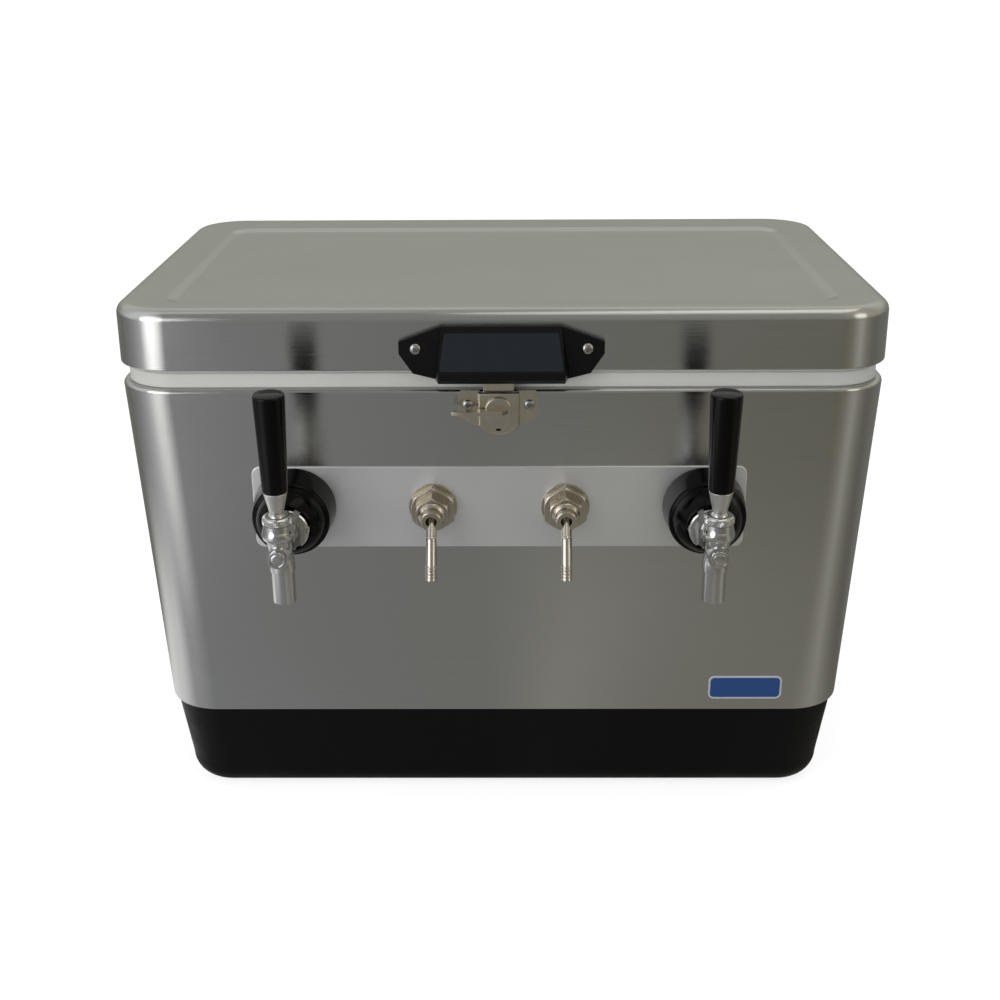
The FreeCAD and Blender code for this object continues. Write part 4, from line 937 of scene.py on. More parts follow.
@dataclass
class Workshop:
    """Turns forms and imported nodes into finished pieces.

    Attributes:
        nodes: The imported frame's objects by name.
    """

    nodes: dict[str, Object]

    def place(self, piece: Object, body: Body, finish: Finishes,
              replaces: Sequence[str] = ()) -> Object:
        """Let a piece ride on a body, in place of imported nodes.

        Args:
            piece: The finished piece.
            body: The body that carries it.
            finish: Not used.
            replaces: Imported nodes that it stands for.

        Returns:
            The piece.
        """
        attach(piece, body.value)
        if replaces:
            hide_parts(*replaces)
        LOG.info("%s: %d faces on %s", piece.name, len(piece.data.polygons), body.value)
        return piece

    def build(self, name: str, form: Form, body: Body, finish: Finishes,
              replaces: Sequence[str] = (), edge: float = 0.0,
              sharp: float = 30.0) -> Object:
        """Finish a form as a piece; the arguments are those of polish and place."""
        mesh = mesh_of(name, form, METRE)
        return self.place(polish(name, mesh, finish, edge, sharp), body, finish, replaces)

    def ease(self, node: str, body: Body, finish: Finishes, edge: float,
             sharp: float = 32.0) -> Object:
        """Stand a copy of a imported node, with eased edges, in its place.

        Args:
            node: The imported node.
            body: The body that carries it.
            finish: Its finish.
            edge: Width of the eased edges in millimetres.
            sharp: Angle past which an edge is eased.

        Returns:
            The piece.
        """
        mesh = self.nodes[node].data.copy()
        shape = bmesh.new()
        shape.from_mesh(mesh)
        bmesh.ops.remove_doubles(shape, verts=shape.verts, dist=0.002 * METRE)
        bmesh.ops.dissolve_limit(shape, angle_limit=math.radians(FLAT), verts=shape.verts,
                                 edges=shape.edges)
        shape.to_mesh(mesh)
        shape.free()
        return self.place(polish(node + "_eased", mesh, finish, edge, sharp), body, finish,
                          [node])

    def carry(self, finish: Finishes, *names: str) -> None:
        """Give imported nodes, whose shape is right, a finish.

        Args:
            finish: The finish.
            *names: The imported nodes.
        """
        for name in names:
            for slot in self.nodes[name].material_slots:
                slot.material = finish.material
            LOG.info("%s: carried over", name)


# ---------------------------------------------------------------- repeated shapes

@dataclass
class Recipe:
    """A Geometry Nodes tree with named sizes, which grows a form in millimetres.

    Attributes:
        title: The tree's name.
        sizes: Names of the input sockets, by their type.
    """

    title: str
    sizes: dict[str, str]

    def __post_init__(self) -> None:
        """Open the tree, with its inputs and its one output."""
        self.tree = bpy.data.node_groups.new(self.title, "GeometryNodeTree")
        socket = self.tree.interface.new_socket
        groups = {"Geometry": "Geometry", **self.sizes, "Material": "Material"}
        self.keys = {
            name: socket(name=name, in_out="INPUT", socket_type=f"NodeSocket{kind}").identifier
            for kind, names in groups.items() for name in names.split()}
        socket(name="Geometry", in_out="OUTPUT", socket_type="NodeSocketGeometry")
        self.given = self.tree.nodes.new("NodeGroupInput").outputs

    def add(self, kind: str, inputs: Inputs | None = None, **settings: object) -> Node:
        """Add a node to the tree, as add_node does."""
        return add_node(self.tree, kind, inputs, **settings)

    def close(self, shape: Node) -> Recipe:
        """End the tree with Realize Instances and Set Material.

        Args:
            shape: The node that draws the finished shape.

        Returns:
            This recipe.
        """
        real = self.add("GeometryNodeRealizeInstances", {"Geometry": shape})
        dressed = self.add("GeometryNodeSetMaterial", {
            "Geometry": real, "Material": self.given["Material"]})
        self.add("NodeGroupOutput", {"Geometry": dressed})
        return self

    def grow(self, finish: Finishes, spots: Sequence[Sequence[float]] = ((0, 0, 0),),
             **sizes: object) -> Form:
        """Grow the shape.

        Args:
            finish: Material that the tree sets.
            spots: Points that the tree starts from.
            **sizes: Value of each named input.

        Returns:
            The shape as a form.
        """
        seed = bpy.data.meshes.new(self.title)
        seed.from_pydata([Vector(spot) for spot in spots], [], [])
        obj = as_object(self.title, seed)
        modifier = obj.modifiers.new(self.title, "NODES")
        modifier.node_group = self.tree
        for name, value in {**sizes, "Material": finish.material}.items():
            modifier[self.keys[name]] = value
        form = form_of(evaluated_mesh(obj))
        bpy.data.objects.remove(obj)
        return form


def wound_wire() -> Recipe:
    """Build the tree of a wire wound at a pitch: a coil, or the ridge of a thread.

    Returns:
        The tree.
    """
    recipe = Recipe("wound_wire", {"Float": "Turns Radius Height Wire", "Int": "Steps Sides"})
    given = recipe.given
    line = recipe.add("GeometryNodeCurveSpiral", {
        "Resolution": given["Steps"], "Rotations": given["Turns"],
        "Start Radius": given["Radius"], "End Radius": given["Radius"],
        "Height": given["Height"]})
    section = recipe.add("GeometryNodeCurvePrimitiveCircle", {
        "Resolution": given["Sides"], "Radius": given["Wire"]})
    return recipe.close(recipe.add("GeometryNodeCurveToMesh", {
        "Curve": line, "Profile Curve": section, "Fill Caps": True}))


def ridge_ring() -> Recipe:
    """Build the tree of upright ridges round a circle: cap grips and straight knurls.

    Returns:
        The tree.
    """
    recipe = Recipe("ridge_ring", {"Float": "Radius Width Length", "Int": "Count Sides"})
    given = recipe.given
    circle = recipe.add("GeometryNodeMeshCircle", {
        "Vertices": given["Count"], "Radius": given["Radius"]})
    ridge = recipe.add("GeometryNodeMeshCylinder", {
        "Vertices": given["Sides"], "Radius": given["Width"], "Depth": given["Length"]})
    spot = recipe.add("GeometryNodeInputPosition")
    turn = recipe.add("FunctionNodeAlignRotationToVector", {"Vector": spot}, axis="X")
    return recipe.close(recipe.add("GeometryNodeInstanceOnPoints", {
        "Points": circle, "Instance": ridge, "Rotation": turn}))


def diamond_knurl() -> Recipe:
    """Build the tree of rows of small pyramids round a drum.

    Returns:
        The tree.
    """
    recipe = Recipe("diamond_knurl", {"Float": "Radius Rise Width Depth", "Int": "Count Rows"})
    given = recipe.given
    circle = recipe.add("GeometryNodeMeshCircle", {
        "Vertices": given["Count"], "Radius": given["Radius"]})
    point = recipe.add("GeometryNodeMeshCone", {
        "Vertices": 4, "Radius Top": 0.0, "Radius Bottom": given["Width"],
        "Depth": given["Depth"]})
    spot = recipe.add("GeometryNodeInputPosition")
    turn = recipe.add("FunctionNodeAlignRotationToVector", {"Vector": spot}, axis="Z")
    row = recipe.add("GeometryNodeInstanceOnPoints", {
        "Points": circle, "Instance": point, "Rotation": turn})
    step = recipe.add("ShaderNodeCombineXYZ", {"Z": given["Rise"]})
    rows = recipe.add("GeometryNodeMeshLine", {"Count": given["Rows"], "Offset": step})
    place = recipe.add("GeometryNodeInputIndex")
    half = recipe.add("ShaderNodeMath", {0: math.pi, 1: given["Count"]}, operation="DIVIDE")
    lag = recipe.add("ShaderNodeMath", {0: place, 1: half}, operation="MULTIPLY")
    stagger = recipe.add("ShaderNodeCombineXYZ", {"Z": lag})
    return recipe.close(recipe.add("GeometryNodeInstanceOnPoints", {
        "Points": rows, "Instance": row, "Rotation": stagger}))


def ring_stack() -> Recipe:
    """Build the tree of equal rings along an axis: grooved tails and ribbed grips.

    Returns:
        The tree.
    """
    recipe = Recipe("ring_stack", {"Float": "Radius Spacing Wire", "Int": "Count Steps Sides"})
    given = recipe.given
    loop, section = (recipe.add("GeometryNodeCurvePrimitiveCircle", {
        "Resolution": given[steps], "Radius": given[radius]})
        for steps, radius in (("Steps", "Radius"), ("Sides", "Wire")))
    ring = recipe.add("GeometryNodeCurveToMesh", {"Curve": loop, "Profile Curve": section})
    step = recipe.add("ShaderNodeCombineXYZ", {"Z": given["Spacing"]})
    line = recipe.add("GeometryNodeMeshLine", {"Count": given["Count"], "Offset": step})
    return recipe.close(recipe.add("GeometryNodeInstanceOnPoints", {
        "Points": line, "Instance": ring}))


def screw_set() -> Recipe:
    """Build the tree that puts a screw at each spot, each turned its own way.

    Returns:
        The tree.
    """
    recipe = Recipe("screw_set", {"Object": "Screw", "Int": "Seed"})
    given = recipe.given
    screw = recipe.add("GeometryNodeObjectInfo", {"Object": given["Screw"]})
    spin = recipe.add("FunctionNodeRandomValue", {
        2: 0.0, 3: math.tau, "Seed": given["Seed"]}, data_type="FLOAT")
    turn = recipe.add("ShaderNodeCombineXYZ", {"Z": spin})
    return recipe.close(recipe.add("GeometryNodeInstanceOnPoints", {
        "Points": given["Geometry"], "Instance": screw.outputs["Geometry"],
        "Rotation": turn}))


@dataclass
class Repeats:
    """The trees that the sub-assemblies share.

    Attributes:
        wire: A wound wire.
        ridges: A ring of upright ridges.
        knurl: A diamond knurl.
        rings: A stack of rings.
        screws: A set of screws.
    """

    wire: Recipe = field(default_factory=wound_wire)
    ridges: Recipe = field(default_factory=ridge_ring)
    knurl: Recipe = field(default_factory=diamond_knurl)
    rings: Recipe = field(default_factory=ring_stack)
    screws: Recipe = field(default_factory=screw_set)


# ---------------------------------------------------------------- sub-assemblies

@dataclass(frozen=True)
class Screws:
    """Equal pan head screws with a cross recess, on one face.

    Attributes:
        spots: Places of the screws on the face.
        seat: Height of their seats over the face.
        seed: Seed of the heads' turns.
        head: Radius of a head.
        height: Height of a head.
        shank: Radius of a thread.
        depth: How far a thread goes below its seat.
    """

    spots: tuple[Corner, ...]
    seat: float
    seed: int
    head: float
    height: float
    shank: float
    depth: float

    def form(self, tree: Recipe) -> Form:
        """Turn one screw, cut its cross and let a tree set it at every spot, z outwards.

        Args:
            tree: The tree that puts a screw at each spot.

        Returns:
            The screws, with z out of the face.
        """
        head, height = self.head, self.height
        dome = lathe([(0, -self.depth), (self.shank, -self.depth), (self.shank, 0), (head, 0),
                      (head, height * 0.3), (head * 0.93, height * 0.62),
                      (head * 0.76, height * 0.86), (head * 0.45, height), (0, height)], 32)
        arm, half = head * 0.52, head * 0.11
        slot = loft([[Vector((x * reach, y * wide, z)) for x, y in
                      ((1, 1), (-1, 1), (-1, -1), (1, -1))]
                     for reach, wide, z in ((arm * 0.55, half * 0.7, height * 0.3),
                                            (arm, half, height + 0.5))])
        cross = slot.join(slot.moved(stand((0, 0, 0), 90, "Z")))
        screw = as_object("screw", mesh_of("screw", cut(dome, cross)))
        screws = tree.grow(Finishes.SCREW_ZINC, [(x, y, self.seat) for x, y in self.spots],
                           Screw=screw, Seed=self.seed)
        bpy.data.objects.remove(screw)
        return screws


@dataclass
class SubAssembly:
    """What every sub-assembly of the chest works with.

    Attributes:
        shop: Makes and places pieces.
        repeats: The Geometry Nodes trees.
        places: The frames on the chest's faces.
    """

    shop: Workshop
    repeats: Repeats
    places: Places

    def make(self) -> None:
        """Make every piece of the sub-assembly."""
        raise NotImplementedError

    def drive(self, node: str, screws: Screws, face: Matrix, body: Body = Body.COOLER,
              both: bool = False) -> None:
        """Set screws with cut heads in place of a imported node's plain ones.

        Args:
            node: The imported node.
            screws: The screws.
            face: Frame of the face that they hold to.
            body: The body that carries them.
            both: Mirror them to the other side too.
        """
        form = screws.form(self.repeats.screws).moved(face)
        self.shop.build(node.replace("screws", "cross_screws"), form.pair() if both else form,
                        body, Finishes.SCREW_ZINC, [node], sharp=TURNED)


@dataclass
class Chest(SubAssembly):
    """The pan, the belt round it, the white tub inside and the plate in front.

    Attributes:
        belt: Plan of the belt at its foot.
        belt_foot: Height of the belt's foot.
        belt_top: Height of the belt's top.
        roll: Radius of the roll at its top.
        sheet: Thickness of the belt.
        rim: Plan of the tub's rim.
        tub: Plan of the tub's inside at its floor.
        floor: Height of the tub's floor.
        rim_top: Height of the rim.
        wall: Thickness of the tub.
        drain: Where the drain leaves the tub.
        drain_bore: Radius of its hole.
        ports: X of the four ports, with the radius of each hole in the plate.
        plate: Length, height and corner radius of the front plate.
        plate_drop: How far the plate's middle lies under the ports.
    """

    belt: Plan = Plan(582.0, 372.0, 46.0, 84.3, 0.046761)
    belt_foot: float = 84.3
    belt_top: float = 373.0
    roll: float = 3.4
    sheet: float = 1.0
    rim: Plan = Plan(598.0, 388.0, 41.0)
    tub: Plan = Plan(520.0, 310.0, 34.0, 42.0, 0.036443)
    floor: float = 42.0
    rim_top: float = 385.0
    wall: float = 3.0
    drain: Triple = (289.0, 0.0, 60.0)
    drain_bore: float = 9.5
    ports: tuple[Corner, ...] = ((163.8, 11.2), (-163.8, 11.2), (53.0, 8.2), (-53.0, 8.2))
    plate: Triple = (394.5, 70.0, 7.0)
    plate_drop: float = 1.2

    def make(self) -> None:
        """Make the belt, tub and plate, and dress the pan and the foam."""
        for name, form, finish, node in (
                ("belt", self.wrap(), Finishes.BELT_STEEL, "steel_belt"),
                ("tub", self.liner(), Finishes.WHITE_LINER, "inner_liner"),
                ("port_plate", self.front_plate(), Finishes.PLATE_STEEL, "front_plate")):
            self.shop.build(name, form, Body.COOLER, finish, [node])
        self.shop.carry(Finishes.BLACK_PAN, "base_pan")
        self.shop.carry(Finishes.FOAM, "body_foam")

    def wrap(self) -> Form:
        """Bend the belt: turned in at its foot, rolled over into a lip at its top.

        Returns:
            The belt, bored for the ports.
        """
        foot, top, sheet = self.belt_foot, self.belt_top, self.sheet
        crown = arc((self.roll, top - self.roll), self.roll, 180, 90)
        line = [(2.3, foot), (0.8, foot), (0.2, foot + 0.3), (0.0, foot + 0.9), *crown,
                (6.5, top), (7.0, top - 0.5), (6.6, top - 1.0), (4.0, top - 1.0),
                (1.4, top - 3.4), (sheet, top - 5.0), (sheet, foot + sheet),
                (2.3, foot + sheet)]
        return cut(loft(self.belt.rings(line), closed=True), self.drills(0.3))

    def drills(self, play: float) -> Form:
        """Shape what bores the four ports."""
        return Form().join(*(rod(radius + play, -90, 20).moved(self.places.port(x))
                             for x, radius in self.ports))

    def liner(self) -> Form:
        """Mould the tub with its rolled rim and drain.

        Returns:
            The tub, bored for the ports and the drain.
        """
        under = self.floor - self.wall
        rim_foot = [(0.9, self.belt_top), (0.0, self.belt_top + 0.9)]
        rim_head = arc((1.6, self.rim_top - 1.6), 1.6, 180, 90, 5)
        mouth = arc((-2.5, self.rim_top - 2.5), 2.5, 90, 0, 5)
        foot = arc((6.0, self.floor + 6.0), 6.0, 180, 270, 6)
        rings = [*self.tub.rings([(3.0, under), (-self.wall, under + 6),
                                  (-self.wall, self.belt_top)]),
                 *self.rim.rings([*rim_foot, *rim_head]),
                 *self.tub.rings([*mouth, *foot])]
        drain = rod(self.drain_bore, -60, -10).moved(stand(self.drain, 90, "Y"))
        return cut(loft(rings), self.drills(0.0).join(drain))

    def front_plate(self) -> Form:
        """Press the plate, with a soft edge all round.

        Returns:
            The plate, bored for the ports.
        """
        length, height, radius = self.plate
        outline = Plan(length, height, radius, middle=-self.plate_drop)
        sheet = self.places.plate
        plate = loft(outline.rings([(0.0, 0.0), (0.0, sheet - 0.7), (0.25, sheet - 0.25),
                                    (0.7, sheet)]))
        bores = Form().join(*(rod(radius, -5, 5, (x, 0.0), 40) for x, radius in self.ports))
        return cut(plate, bores).moved(
            self.places.wall(0, self.places.port_height, self.places.front_x))


@dataclass
class Lid(SubAssembly):
    """The pressed steel lid and its white underside.

    Attributes:
        skin: Plan of the lid's walls.
        bottom: Height of the lid's lower edge.
        top: Height of the lid's top.
        fillet: Radius round the top.
        sheet: Thickness of the steel.
        lip: How far the lower edge turns in.
        recess: Plan of the sunk panel at its upper edge.
        drop: Depth of the sunk panel.
        slope: Width of the slope round it.
        slope_steps: Divisions of the slope.
        rim: Plan of the underside's rim.
        plug: Plan of the part that drops into the tub.
        rim_bottom: Height of the rim's lower face.
        plug_drop: How far the plug reaches down.
    """

    skin: Plan = Plan(610.0, 400.0, 46.0)
    bottom: float = 388.0
    top: float = 436.0
    fillet: float = 9.0
    sheet: float = 1.2
    lip: float = 10.0
    recess: Plan = Plan(532.0, 322.0, 22.0, middle=-14.0)
    drop: float = 2.2
    slope: float = 8.0
    slope_steps: int = 10
    rim: Plan = Plan(598.0, 388.0, 41.0)
    plug: Plan = Plan(528.0, 318.0, 28.0)
    rim_bottom: float = 385.2
    plug_drop: float = 7.0

    def make(self) -> None:
        """Make the skin and the underside, and dress the foam."""
        self.shop.build("lid_skin", self.pressing(), Body.LID, Finishes.BELT_STEEL,
                        ["lid_shell"])
        self.shop.build("lid_underside", self.underside(), Body.LID, Finishes.WHITE_LINER,
                        ["lid_liner"])
        self.shop.carry(Finishes.FOAM, "lid_foam")

    def pressing(self) -> Form:
        """Press the skin as one closed sheet, from its inner face round to its top.

        Returns:
            The lid's skin.
        """
        inside, low = self.sheet, self.bottom + self.sheet
        crown = arc((self.fillet, self.top - self.fillet), self.fillet, 180, 90, 10)
        turn = arc((1.3, self.bottom + 1.3), 1.3, 270, 180, 5)
        under = [(inside + 6.0, self.top - self.drop - inside), (inside, self.top - self.fillet),
                 (inside, low), (self.lip, low), (self.lip, self.bottom), *turn, *crown,
                 (self.fillet + 6.0, self.top)]
        shares = [step / self.slope_steps for step in range(self.slope_steps + 1)]
        bank = [(self.slope * share, self.top - self.drop * (share * share * (3 - 2 * share)))
                for share in shares]
        return loft([*self.skin.rings(under), *self.recess.rings([(-1.5, self.top), *bank])])

    def underside(self) -> Form:
        """Mould the plug and the rim over it.

        Returns:
            The lid's white underside.
        """
        low = self.rim_bottom - self.plug_drop
        foot = arc((4.0, low + 4.0), 4.0, 270, 180, 6)
        rim = [(0.8, self.rim_bottom), (0.0, self.rim_bottom + 0.8), (0.0, self.bottom)]
        return loft([*self.plug.rings([*foot, (0.0, self.rim_bottom)]), *self.rim.rings(rim)])


@dataclass
class Grip(SubAssembly):
    """The moulded pull on the lid's front.

    Attributes:
        height: Height of the screws.
        screws: Its screws, from the middle of the grip.
        face: Height and outreach of the hood's sloping front, at its lip and at its top.
        inlay: Height and half width of the inlay, at its foot and at its head.
        corner: Radius of the inlay's corners.
        sheet: The inlay's back and front, out from the hood.
    """

    height: float = 402.0
    screws: Screws = Screws(((66.0, 5.0), (-66.0, 5.0)), 5.0, 4, 4.5, 2.6, 2.2, 6.2)
    face: tuple[Corner, Corner] = ((-10.5, 20.0), (22.5, 5.2))
    inlay: tuple[Corner, Corner] = ((-9.3, 47.4), (17.9, 43.6))
    corner: float = 1.2
    sheet: Corner = (0.03, 0.5)

    def make(self) -> None:
        """Make the hood, its inlay and its screws."""
        place = self.places.lid(self.height)
        self.shop.ease("lid_grip", Body.LID, Finishes.GRIP_NYLON, 0.7)
        self.shop.build("sloping_inlay", self.sloping_inlay().moved(place), Body.LID,
                        Finishes.GRIP_INLAY, ["grip_panel"], 0.2)
        self.drive("grip_screws", self.screws, place, Body.LID)

    def sloping_inlay(self) -> Form:
        """Lay the inlay on the hood's front: a thin plate, wider at its foot.

        Returns:
            The inlay, from the middle of the grip.
        """
        (lip, lip_out), (top, top_out) = self.face
        (foot, foot_half), (head, head_half) = self.inlay
        outline = [(x, y, self.corner) for x, y in ((-foot_half, foot), (foot_half, foot),
                                                    (head_half, head), (-head_half, head))]
        fall = (top_out - lip_out) / (top - lip)
        lean = Matrix(((1, 0, 0, 0), (0, 1, 0, 0), (0, fall, 1, lip_out - fall * lip),
                       (0, 0, 0, 1)))
        return prism(rounded(outline, 4), *self.sheet).moved(lean)


@dataclass
class Latch(SubAssembly):
    """The turn latch: cover, knob, bolt and keeper.

    Attributes:
        height: Height of the knob's axis.
        screws: The cover's screws, from the knob's axis.
    """

    height: float = 358.6
    screws: Screws = Screws(((24.0, 2.5), (-24.0, 2.5)), 1.5, 7, 4.2, 2.2, 2.0, 2.5)

    def make(self) -> None:
        """Make the cover, the knob and the screws, and dress what is hidden."""
        self.shop.ease("latch_housing", Body.COOLER, Finishes.LATCH_NICKEL, 0.35)
        self.shop.ease("latch_knob", Body.LATCH, Finishes.LATCH_NICKEL, 0.3)
        self.drive("latch_screws", self.screws,
                   self.places.wall(0, self.height, self.places.front_x))
        self.shop.carry(Finishes.ZINC, "latch_bolt")
        self.shop.ease("latch_keeper", Body.LID, Finishes.KEEPER_ZINC, 0.3)


@dataclass
class Hinges(SubAssembly):
    """Two butt hinges at the back.

    Attributes:
        screws: The screws of two leaves, about the middle of the back.
        chest_middle: Height of the lower leaves' middle.
        lid_middle: Height of the upper leaves' middle.
    """

    screws: Screws = Screws(tuple((hinge + x, y) for hinge in (170.0, -170.0)
                                  for x in (-13.0, 13.0) for y in (-10.0, 10.0)),
                            2.0, 11, 3.8, 1.8, 2.0, 3.0)
    chest_middle: float = 348.0
    lid_middle: float = 413.0

    def make(self) -> None:
        """Make the leaves and screws, and dress the pins."""
        self.shop.ease("hinge_leaves_chest", Body.COOLER, Finishes.ZINC, 0.3)
        self.shop.ease("hinge_leaves_lid", Body.LID, Finishes.ZINC, 0.3)
        self.drive("hinge_screws_chest", self.screws, self.places.wall(180, self.chest_middle))
        self.drive("hinge_screws_lid", self.screws, self.places.lid_back(self.lid_middle),
                   Body.LID)
        self.shop.carry(Finishes.ROD, "hinge_pins")


@dataclass
class Bails(SubAssembly):
    """A swinging carrying bail on each side.

    Attributes:
        height: Height of the bails' pivots.
        out: How far the pivots stand out of the wall.
        drop: How far a bail hangs down.
        screws: The brackets' screws on a side wall.
        grip: Radius and half length of the hand grip.
        rod: Radius of the bail's rod.
        rib: Radius, spacing and count of the grip's ribs.
    """

    height: float = 300.0
    out: float = 9.0
    drop: float = 45.0
    screws: Screws = Screws(tuple((x, y) for x in (75.0, -75.0) for y in (15.0, -15.0)),
                            2.0, 5, 4.0, 2.0, 2.0, 3.0)
    grip: Corner = (9.0, 50.0)
    rod: float = 3.5
    rib: tuple[float, float, int] = (1.1, 4.0, 22)

    def make(self) -> None:
        """Make the brackets, screws and ribbed grips, and dress the rods."""
        self.shop.ease("bail_brackets", Body.COOLER, Finishes.ZINC, 0.3)
        self.drive("bail_screws", self.screws, self.places.wall(90, self.height), both=True)
        grip = self.hand_grip()
        for name, body, form in (("right", Body.RIGHT_HANDLE, grip),
                                 ("left", Body.LEFT_HANDLE, grip.mirrored())):
            self.shop.build(f"{name}_ribbed_grip", form, body, Finishes.RUBBER,
                            [f"{name}_bail_grip"], sharp=TURNED)
            self.shop.carry(Finishes.ROD, f"{name}_bail")

    def hand_grip(self) -> Form:
        """Mould the right hand grip: a sleeve with rolled ends and ribs round it.

        Returns:
            The grip, in its place at the right.
        """
        radius, half = self.grip
        wire, pitch, count = self.rib
        bore, core = self.rod + 0.05, radius - 0.8
        sleeve = lathe(rounded([(bore, -half), (core, -half, 1.4), (core, half, 1.4),
                                (bore, half)]), 40, hollow=True)
        ribs = self.repeats.rings.grow(Finishes.RUBBER, Count=count, Radius=core - 0.3,
                                       Spacing=pitch, Wire=wire, Steps=40, Sides=10)
        pivot = self.places.wall(90, self.height) @ Vector((0, 0, self.out))
        return sleeve.join(ribs.moved(stand((0, 0, -pitch * (count - 1) / 2)))).moved(
            stand(pivot - Vector((0, 0, self.drop)), 90))


@dataclass
class Drain(SubAssembly):
    """The drain low on the right.

    Attributes:
        spot: Where its axis leaves the boss that it sits on.
        tube: Radius of the spout.
        bore: Radius of its bore.
        inside: Where the spout ends in the tub, and the nut's other face.
        thread: Turns, length and wire of the thread's ridge.
        cap: Radius of the screw cap.
        cap_span: Where the cap starts and ends, out from the boss.
        nut_size: Size of the nut across its flats.
        ribs: Count and radius of the cap's ribs.
    """

    spot: Triple = (289.0, 0.0, 60.0)
    tube: float = 9.4
    bore: float = 6.0
    inside: Corner = (-38.0, -32.0)
    thread: Triple = (4.0, 12.0, 0.25)
    cap: float = 13.2
    cap_span: Corner = (3.6, 21.0)
    nut_size: float = 24.0
    ribs: tuple[int, float] = (36, 0.5)

    def make(self) -> None:
        """Make the spout, its nut and the ribbed cap."""
        back = nut(self.nut_size, self.tube + 0.05, *self.inside, both=True)
        for name, form, body, node, edge in (
                ("drain_threaded_spout", self.spout(), Body.COOLER, "drain_spout", 0.0),
                ("drain_back_nut", back, Body.COOLER, "drain_nut", 0.25),
                ("drain_ribbed_cap", self.screw_cap(), Body.DRAIN_LID, "drain_cap", 0.0)):
            self.shop.build(name, form.moved(stand(self.spot, 90, "Y")), body,
                            Finishes.BLACK_PAN, [node], edge)
        self.shop.carry(Finishes.RUBBER, "drain_washer")

    def spout(self) -> Form:
        """Mould the flanged spout, with the ridge of its thread.

        Returns:
            The spout, with z out of the boss.
        """
        tube, end = self.tube, self.inside[0]
        turns, length, wire = self.thread
        spout = lathe([(self.bore, end), (tube, end), (tube, 0), (16, 0), (16, 2.2), (15.2, 3),
                       (tube, 3), (tube, 16.4), (tube - 0.6, 17), (self.bore, 17)], 64,
                      hollow=True)
        thread = self.repeats.wire.grow(Finishes.BLACK_PAN, Turns=turns, Radius=tube,
                                        Height=length, Wire=wire, Steps=160, Sides=6)
        return spout.join(thread.moved(stand((0, 0, 4))))

    def screw_cap(self) -> Form:
        """Mould the cap, with a ring of ribs for the fingers.

        Returns:
            The cap, with z out of the boss.
        """
        low, high = self.cap_span
        count, width = self.ribs
        inner, side = self.tube + 0.35, self.cap - 0.5
        cap = lathe([(inner, low), (self.cap - 1, low), (side, low + 0.8), (side, high - 2),
                     (self.cap - 0.9, high - 0.8), (self.cap - 2.0, high), (0, high),
                     (0, high - 2.4), (inner, high - 2.4)], 72, hollow=True)
        ribs = self.repeats.ridges.grow(Finishes.BLACK_PAN, Count=count, Radius=side,
                                        Width=width, Length=high - low - 3.6, Sides=8)
        return cap.join(ribs.moved(stand((0, 0, (low + high) / 2))))


